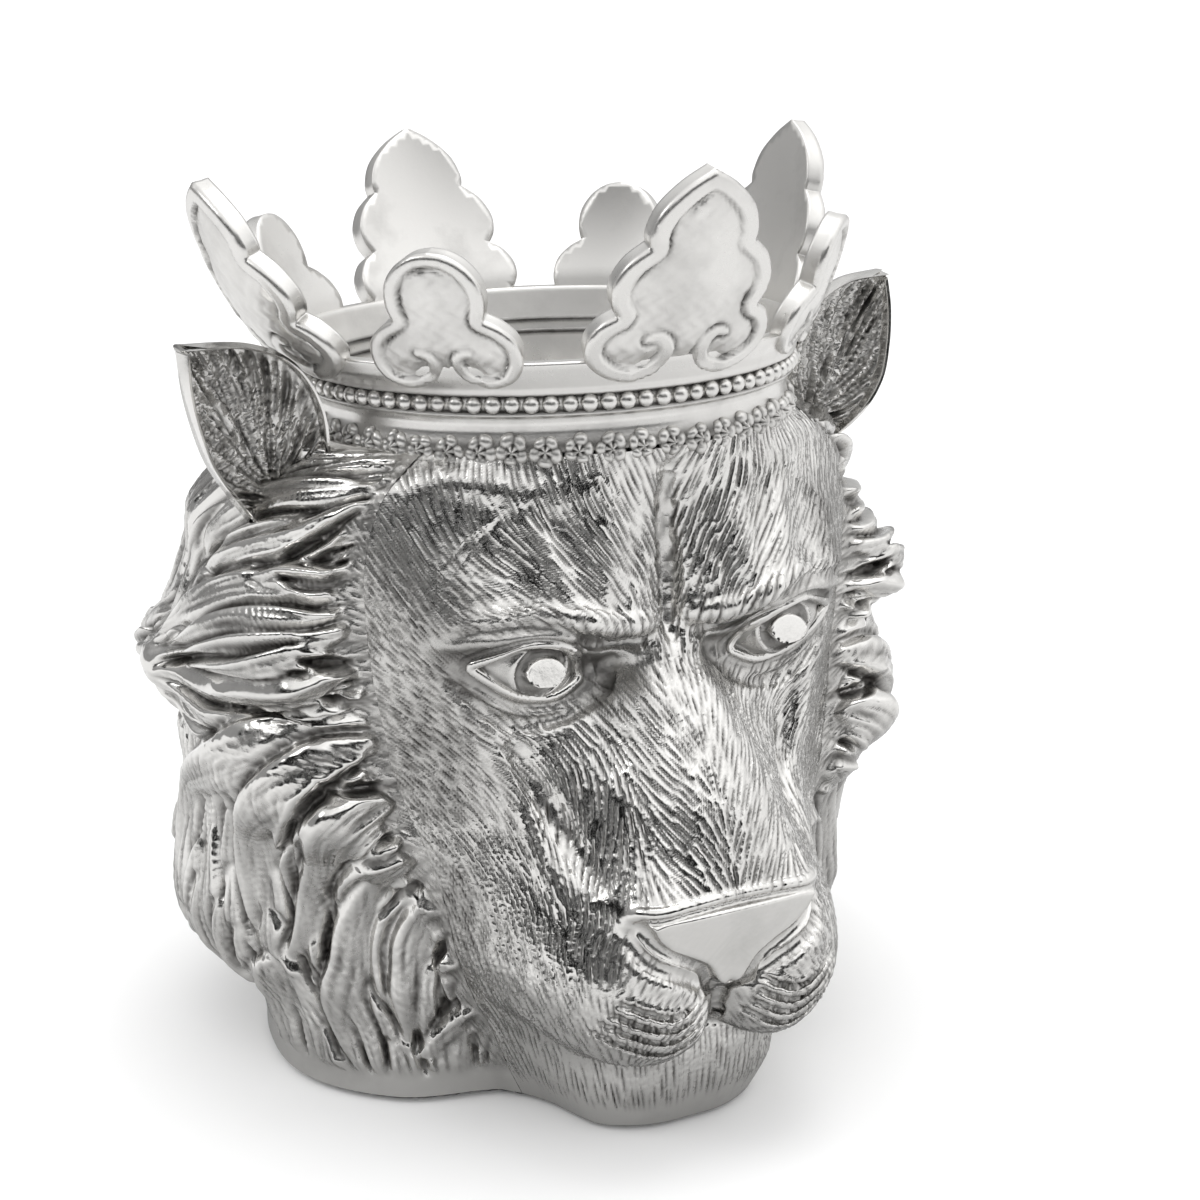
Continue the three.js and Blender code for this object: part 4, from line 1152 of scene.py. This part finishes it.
def build_ears():
    inner, outer = curve(EAR_INNER, 260), curve(EAR_OUTER, 260)
    across = np.linspace(0, 1, 200)
    along = np.linspace(0, 1, 260)[:, None]
    form = inner[:, None] * (1 - across)[None, :, None] + outer[:, None] * across[None, :, None]
    hollow = (4 * across * (1 - across)) ** 0.75 * np.sin(math.pi * (0.12 + 0.8 * along)) ** 0.8
    form[..., 1] += EAR_CUP * hollow
    sheet = Sheet(even_grid(form, 0.5))
    share = np.linspace(0, 1, sheet.columns) + 0 * sheet.up_mm
    rise = np.linspace(0, 1, sheet.rows)[:, None] + 0 * share
    root = np.array([95, -4, 192])
    hair = unit(sheet.base - root)
    steps = hair_field(sheet, hair)
    width = sheet.across_mm.sum(1, keepdims=True)
    edge = np.minimum(np.minimum(share, 1 - share) * width, (1 - rise) * sheet.up_mm.sum(0, keepdims=True))
    allowed = (edge > 4.5) & (rise > 0.12)
    fade = smooth(4, 8, edge)
    sheet.relief += 0.7 * streaks(share.shape, steps, 10, reach=18, coarse=2) * fade
    comb(sheet, steps, allowed, np.full_like(share, 12.0), np.full_like(share, 1.7),
         0.55 * fade, np.full_like(share, 0.5), 8)
    sheet.relief += 0.16 * streaks(share.shape, steps, 9) * fade
    thick = 1.4 + 1.2 * smooth(0.4, 0.9, share)
    sheet.relief += thick * bell(edge - 1.2, 2.0) - 0.8 * bell(edge - 5.0, 1.1)
    marks = np.clip(0.4 * sheet.cut + 0.33 * smooth(3.5, 7, edge) - 0.12 * sheet.relief, 0, 1)
    back = np.concatenate([form[::8], form[-1:]], 0)[:, ::8]
    bulge = (4 * np.linspace(0, 1, back.shape[1]) * (1 - np.linspace(0, 1, back.shape[1]))) ** 0.5
    back[..., 1] += EAR_WALL + 2.0 * bulge
    points, faces = shell(sheet.finish(), back)
    marks = np.concatenate([marks.ravel(), np.full(back.shape[0] * back.shape[1], 0.1)])
    for side, name in ((1, "left"), (-1, "right")):
        item = make_mesh("ear_cup_" + name, points * [side, 1, 1], faces, casting, {"hollow": marks},
                         turn_over=side < 0, crisp=True)
        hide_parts("ear_" + name)
        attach(item, "head")


# ---- Liner ----------------------------------------------------------------------------------

# The spun cup's section as (radius, height): under the floor, up the outside, over the rolled lip, down the inside.
LINER = [
    (0.3, 9.2), (20, 8.9), (38, 7.6), (43, 6.7), (46.5, 6.7), (50.4, 8.3), (52.4, 12), (54.2, 40), (58.0, 110),
    (60.6, 168), (61.2, 186), (61.9, 188.4), (63.3, 188.3), (64.0, 189.9), (63.6, 191.5), (62.2, 192.0),
    (60.5, 191.3), (59.5, 188.5), (58.6, 168), (55.9, 110), (52.1, 40), (50.3, 14.5), (47.2, 10.4), (42, 9.5),
    (36, 10.0), (20, 11.0), (0.3, 11.3),
]


def turned(section, sides):
    """A section turned about the axis. It starts below and ends above on the axis, where it is capped."""
    turn = np.linspace(0, 2 * math.pi, sides, endpoint=False)
    radius, height = section[:, :1], section[:, 1:]
    points = np.stack([radius * np.sin(turn), -radius * np.cos(turn), height + 0 * turn], -1)
    first = np.arange(sides)
    last = first + (len(section) - 1) * sides
    return points.reshape(-1, 3), [grid_faces(len(section), sides, closed=True), first[None, ::-1], last[None]]


def build_liner():
    section = spread(curve(LINER, 500)[None], 300)[0]
    points, faces = turned(section, 144)
    item = make_mesh("spun_cup", points, faces, spun)
    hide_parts("liner")
    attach(item, "liner")


# ---- Underside ------------------------------------------------------------------------------

def foot_outline(face_row, mane_row):
    """The line the head stands on, anticlockwise from the chin."""
    half = np.vstack([face_row[len(face_row) // 2:, :2], mane_row[1:, :2]])
    ring = np.vstack([half, half[-2:0:-1] * [-1, 1]])
    ring = np.vstack([ring, ring[:1]])
    return spread(ring[None], 421)[0][:-1]


def inset(outline, distance):
    """A closed anticlockwise outline drawn in by a distance."""
    along = unit(np.roll(outline, -4, 0) - np.roll(outline, 4, 0))
    return outline + np.stack([-along[:, 1], along[:, 0]], 1) * distance


def slab(outline, low, high, soft):
    """A sheet with eased edges between two heights."""
    flat, triangles = fill_outline(outline, 6.0)
    count = len(outline)
    middle = (low + high) / 2
    levels = [(soft, low), (0.3 * soft, low + 0.25 * soft), (0, middle), (0.3 * soft, high - 0.25 * soft), (soft, high)]
    points = [np.column_stack([flat, np.full(len(flat), low)])]
    faces = [triangles[:, ::-1]]
    points[0][:count, :2] = inset(outline, soft)
    below = np.arange(count)
    for draw_in, height in levels[1:]:
        first = sum(len(p) for p in points)
        line = inset(outline, draw_in)
        if height == high:
            top = np.column_stack([flat, np.full(len(flat), high)])
            top[:count, :2] = line
            points.append(top)
            faces.append(triangles + first)
        else:
            points.append(np.column_stack([line, np.full(count, height)]))
        above = first + np.arange(count)
        faces.append(np.stack([below, np.roll(below, -1), np.roll(above, -1), above], -1))
        below = above
    return np.vstack(points), faces


def build_underside(outline):
    points, faces = slab(inset(outline, 7.5), 2.4, 6.3, 0.6)
    plate = make_mesh("bottom_sheet", points, faces, sheet_metal)
    ragged = inset(outline, 3.2) + 0.1 * draws.standard_normal(outline.shape)
    points, faces = slab(ragged, 0.0, 2.0, 0.5)
    points[:, 2] = np.maximum(points[:, 2] + 0.06 * draws.standard_normal(len(points)), 0)
    pad = make_mesh("felt_pad", points, faces, felt)
    for item, node, slot in ((plate, "base_plate", "base_sheet"), (pad, "felt_sheet", "felt")):
        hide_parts(node)
        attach(item, "head")


def screw_mesh(head_r, shank_r, head_h, length):
    """A pan-head screw pointing up: crossed slot below, thread above."""
    pitch = 1.3
    head = [(0.12, 0.0), (1.1, 0.0), (2.1, 0.05), (2.9, 0.25), (3.6, 0.7), (head_r, 1.2), (3.6, head_h)]
    shank = [(shank_r, head_h + 0.05), (shank_r, length - 2.2), (0.15, length)]
    section = np.vstack([spread(np.array(head)[None], 26)[0], spread(np.array(shank)[None], 90)[0]])
    points, faces = turned(section, 40)
    x, y, z = points.T
    radius = np.hypot(x, y)
    slot = smooth(0.75, 0.45, np.minimum(np.abs(x), np.abs(y))) * smooth(2.3, 1.9, radius) * (z < 0.6)
    z = z + 1.0 * slot
    wind = (z / pitch - np.arctan2(y, x) / (2 * math.pi)) % 1
    thread = 0.42 * (1 - np.abs(2 * wind - 1)) * smooth(head_h + 0.4, head_h + 1.2, z) * smooth(0.3, 1.2, radius)
    grow = 1 - (0.34 - thread) / np.maximum(radius, 0.3) * smooth(head_h + 0.4, head_h + 1.2, z)
    return np.stack([x * grow, y * grow, z], 1), faces


def build_screws():
    for k in range(1, 7):
        node = bpy.data.objects["base_screw_%d" % k]
        corners = np.array([node.matrix_world @ Vector(c) for c in node.bound_box]) / MM
        low, high = corners.min(0), corners.max(0)
        points, faces = screw_mesh(3.8, 1.9, 1.6, high[2] - low[2])
        middle = (low + high) / 2
        item = make_mesh("screw_%d" % k, points + [middle[0], middle[1], low[2]], faces, steel)
        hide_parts(node.name)
        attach(item, "head")


face = build_face()
mane = build_mane(face[:, -1])
build_crown()
build_ears()
build_liner()
build_underside(foot_outline(face[0], mane[0]))
build_screws()


# ---- Room, light and camera -------------------------------------------------------------------

ROOM_SIDE = (-0.60, -0.79, 0.12)  # towards the dark room behind the camera
BRIGHT_SIDE = (0.64, -0.74, 0.2)  # towards the large window


def build_stage():
    """White paper, which the metal reflects as if it were in its own shade."""
    g = Graph(bpy.data.materials.new("floor_paper"))
    mirrored = g.node("LightPath").outputs["Is Glossy Ray"]
    where = g.node("TexCoord").outputs["Object"]
    away = g.node("VectorMath", {0: where}, operation="LENGTH").outputs["Value"]
    shade = g.mix(g.spread(away, 0.12, 0.34, 0, 1), (0.5, 0.5, 0.5, 1), (0.75, 0.75, 0.75, 1))
    g.feed(g.shader.inputs["Base Color"], g.mix(mirrored, (0.96, 0.96, 0.96, 1), shade))
    g.feed(g.shader.inputs["Roughness"], 0.8)
    g.feed(g.shader.inputs["Specular IOR Level"], 0.0)
    size = 3000
    corners = np.array([(-size, -size, 0), (size, -size, 0), (size, size, 0), (-size, size, 0)], float)
    make_mesh("floor", corners, [np.array([[0, 1, 2, 3]])], g.material)


def build_world():
    """A white studio with a dark room behind the camera, which only reflections show."""
    world = bpy.data.worlds.new("studio")
    bpy.context.scene.world = world
    g = Graph(world, "Background")
    look = g.node("TexCoord").outputs["Generated"]
    height = g.node("SeparateXYZ", {0: look}).outputs[2]
    facing = g.node("VectorMath", {0: look, 1: ROOM_SIDE}, operation="DOT_PRODUCT").outputs["Value"]
    shapes = g.node("TexNoise", {"Vector": look, "Scale": 2.6, "Detail": 2.0, "Roughness": 0.5}).outputs["Fac"]
    facing = g.math("ADD", facing, g.spread(shapes, 0.3, 0.7, -0.3, 0.3))
    room = g.math("MULTIPLY", g.spread(facing, 0.36, 0.54, 0.0, 1.0), g.spread(height, 0.45, 0.62, 1.0, 0.0))
    things = g.node("TexNoise", {"Vector": look, "Scale": 7.0, "Detail": 3.0, "Roughness": 0.6}).outputs["Fac"]
    within = g.math("MULTIPLY", room, g.spread(things, 0.56, 0.64, 0.0, 0.6))
    window = g.node("VectorMath", {0: look, 1: BRIGHT_SIDE}, operation="DOT_PRODUCT").outputs["Value"]
    side = g.spread(window, -0.7, 0.9, 0.32, 1.05)
    studio = g.math("ADD", side, g.spread(height, 0.25, 0.75, 0.0, 0.4))
    light = g.math("ADD", g.math("MULTIPLY", studio, g.math("SUBTRACT", 1.0, room)), within)
    rays = g.node("LightPath").outputs
    plain = g.math("ADD", rays["Is Camera Ray"], rays["Is Diffuse Ray"], clamp=True)
    g.feed(g.shader.inputs["Color"], g.mix(plain, light, (1.2, 1.2, 1.2, 1)))
    g.feed(g.shader.inputs["Strength"], 1.0)


def add_lamp(name, position, size, power, target=(0, 0, 0.12)):
    lamp = bpy.data.lights.new(name, "AREA")
    lamp.shape = "RECTANGLE"
    lamp.size, lamp.size_y = size
    lamp.energy = power
    item = bpy.data.objects.new(name, lamp)
    bpy.context.scene.collection.objects.link(item)
    item.location = position
    aim = Vector(target) - Vector(position)
    item.rotation_euler = aim.to_track_quat("-Z", "Y").to_euler()


def build_camera():
    turn, rise, distance = math.radians(-28.0), math.radians(17.8), 0.804
    target = Vector((0, 0, 0.1537))
    back = Vector((math.sin(turn) * math.cos(rise), -math.cos(turn) * math.cos(rise), math.sin(rise)))
    lens = bpy.data.cameras.new("camera")
    lens.sensor_width = 36
    lens.lens = 74.41
    lens.shift_x, lens.shift_y = 0.0423, -0.025
    item = bpy.data.objects.new("camera", lens)
    bpy.context.scene.collection.objects.link(item)
    item.location = target + back * distance
    item.rotation_euler = (-back).to_track_quat("-Z", "Y").to_euler()
    bpy.context.scene.camera = item


build_stage()
build_world()
add_lamp("key", (-1.5, 0.3, 1.3), (0.7, 0.7), 4)
add_lamp("top", (0.3, 0.1, 1.8), (0.9, 0.9), 6)
build_camera()
bpy.context.scene.view_settings.view_transform = "Standard"
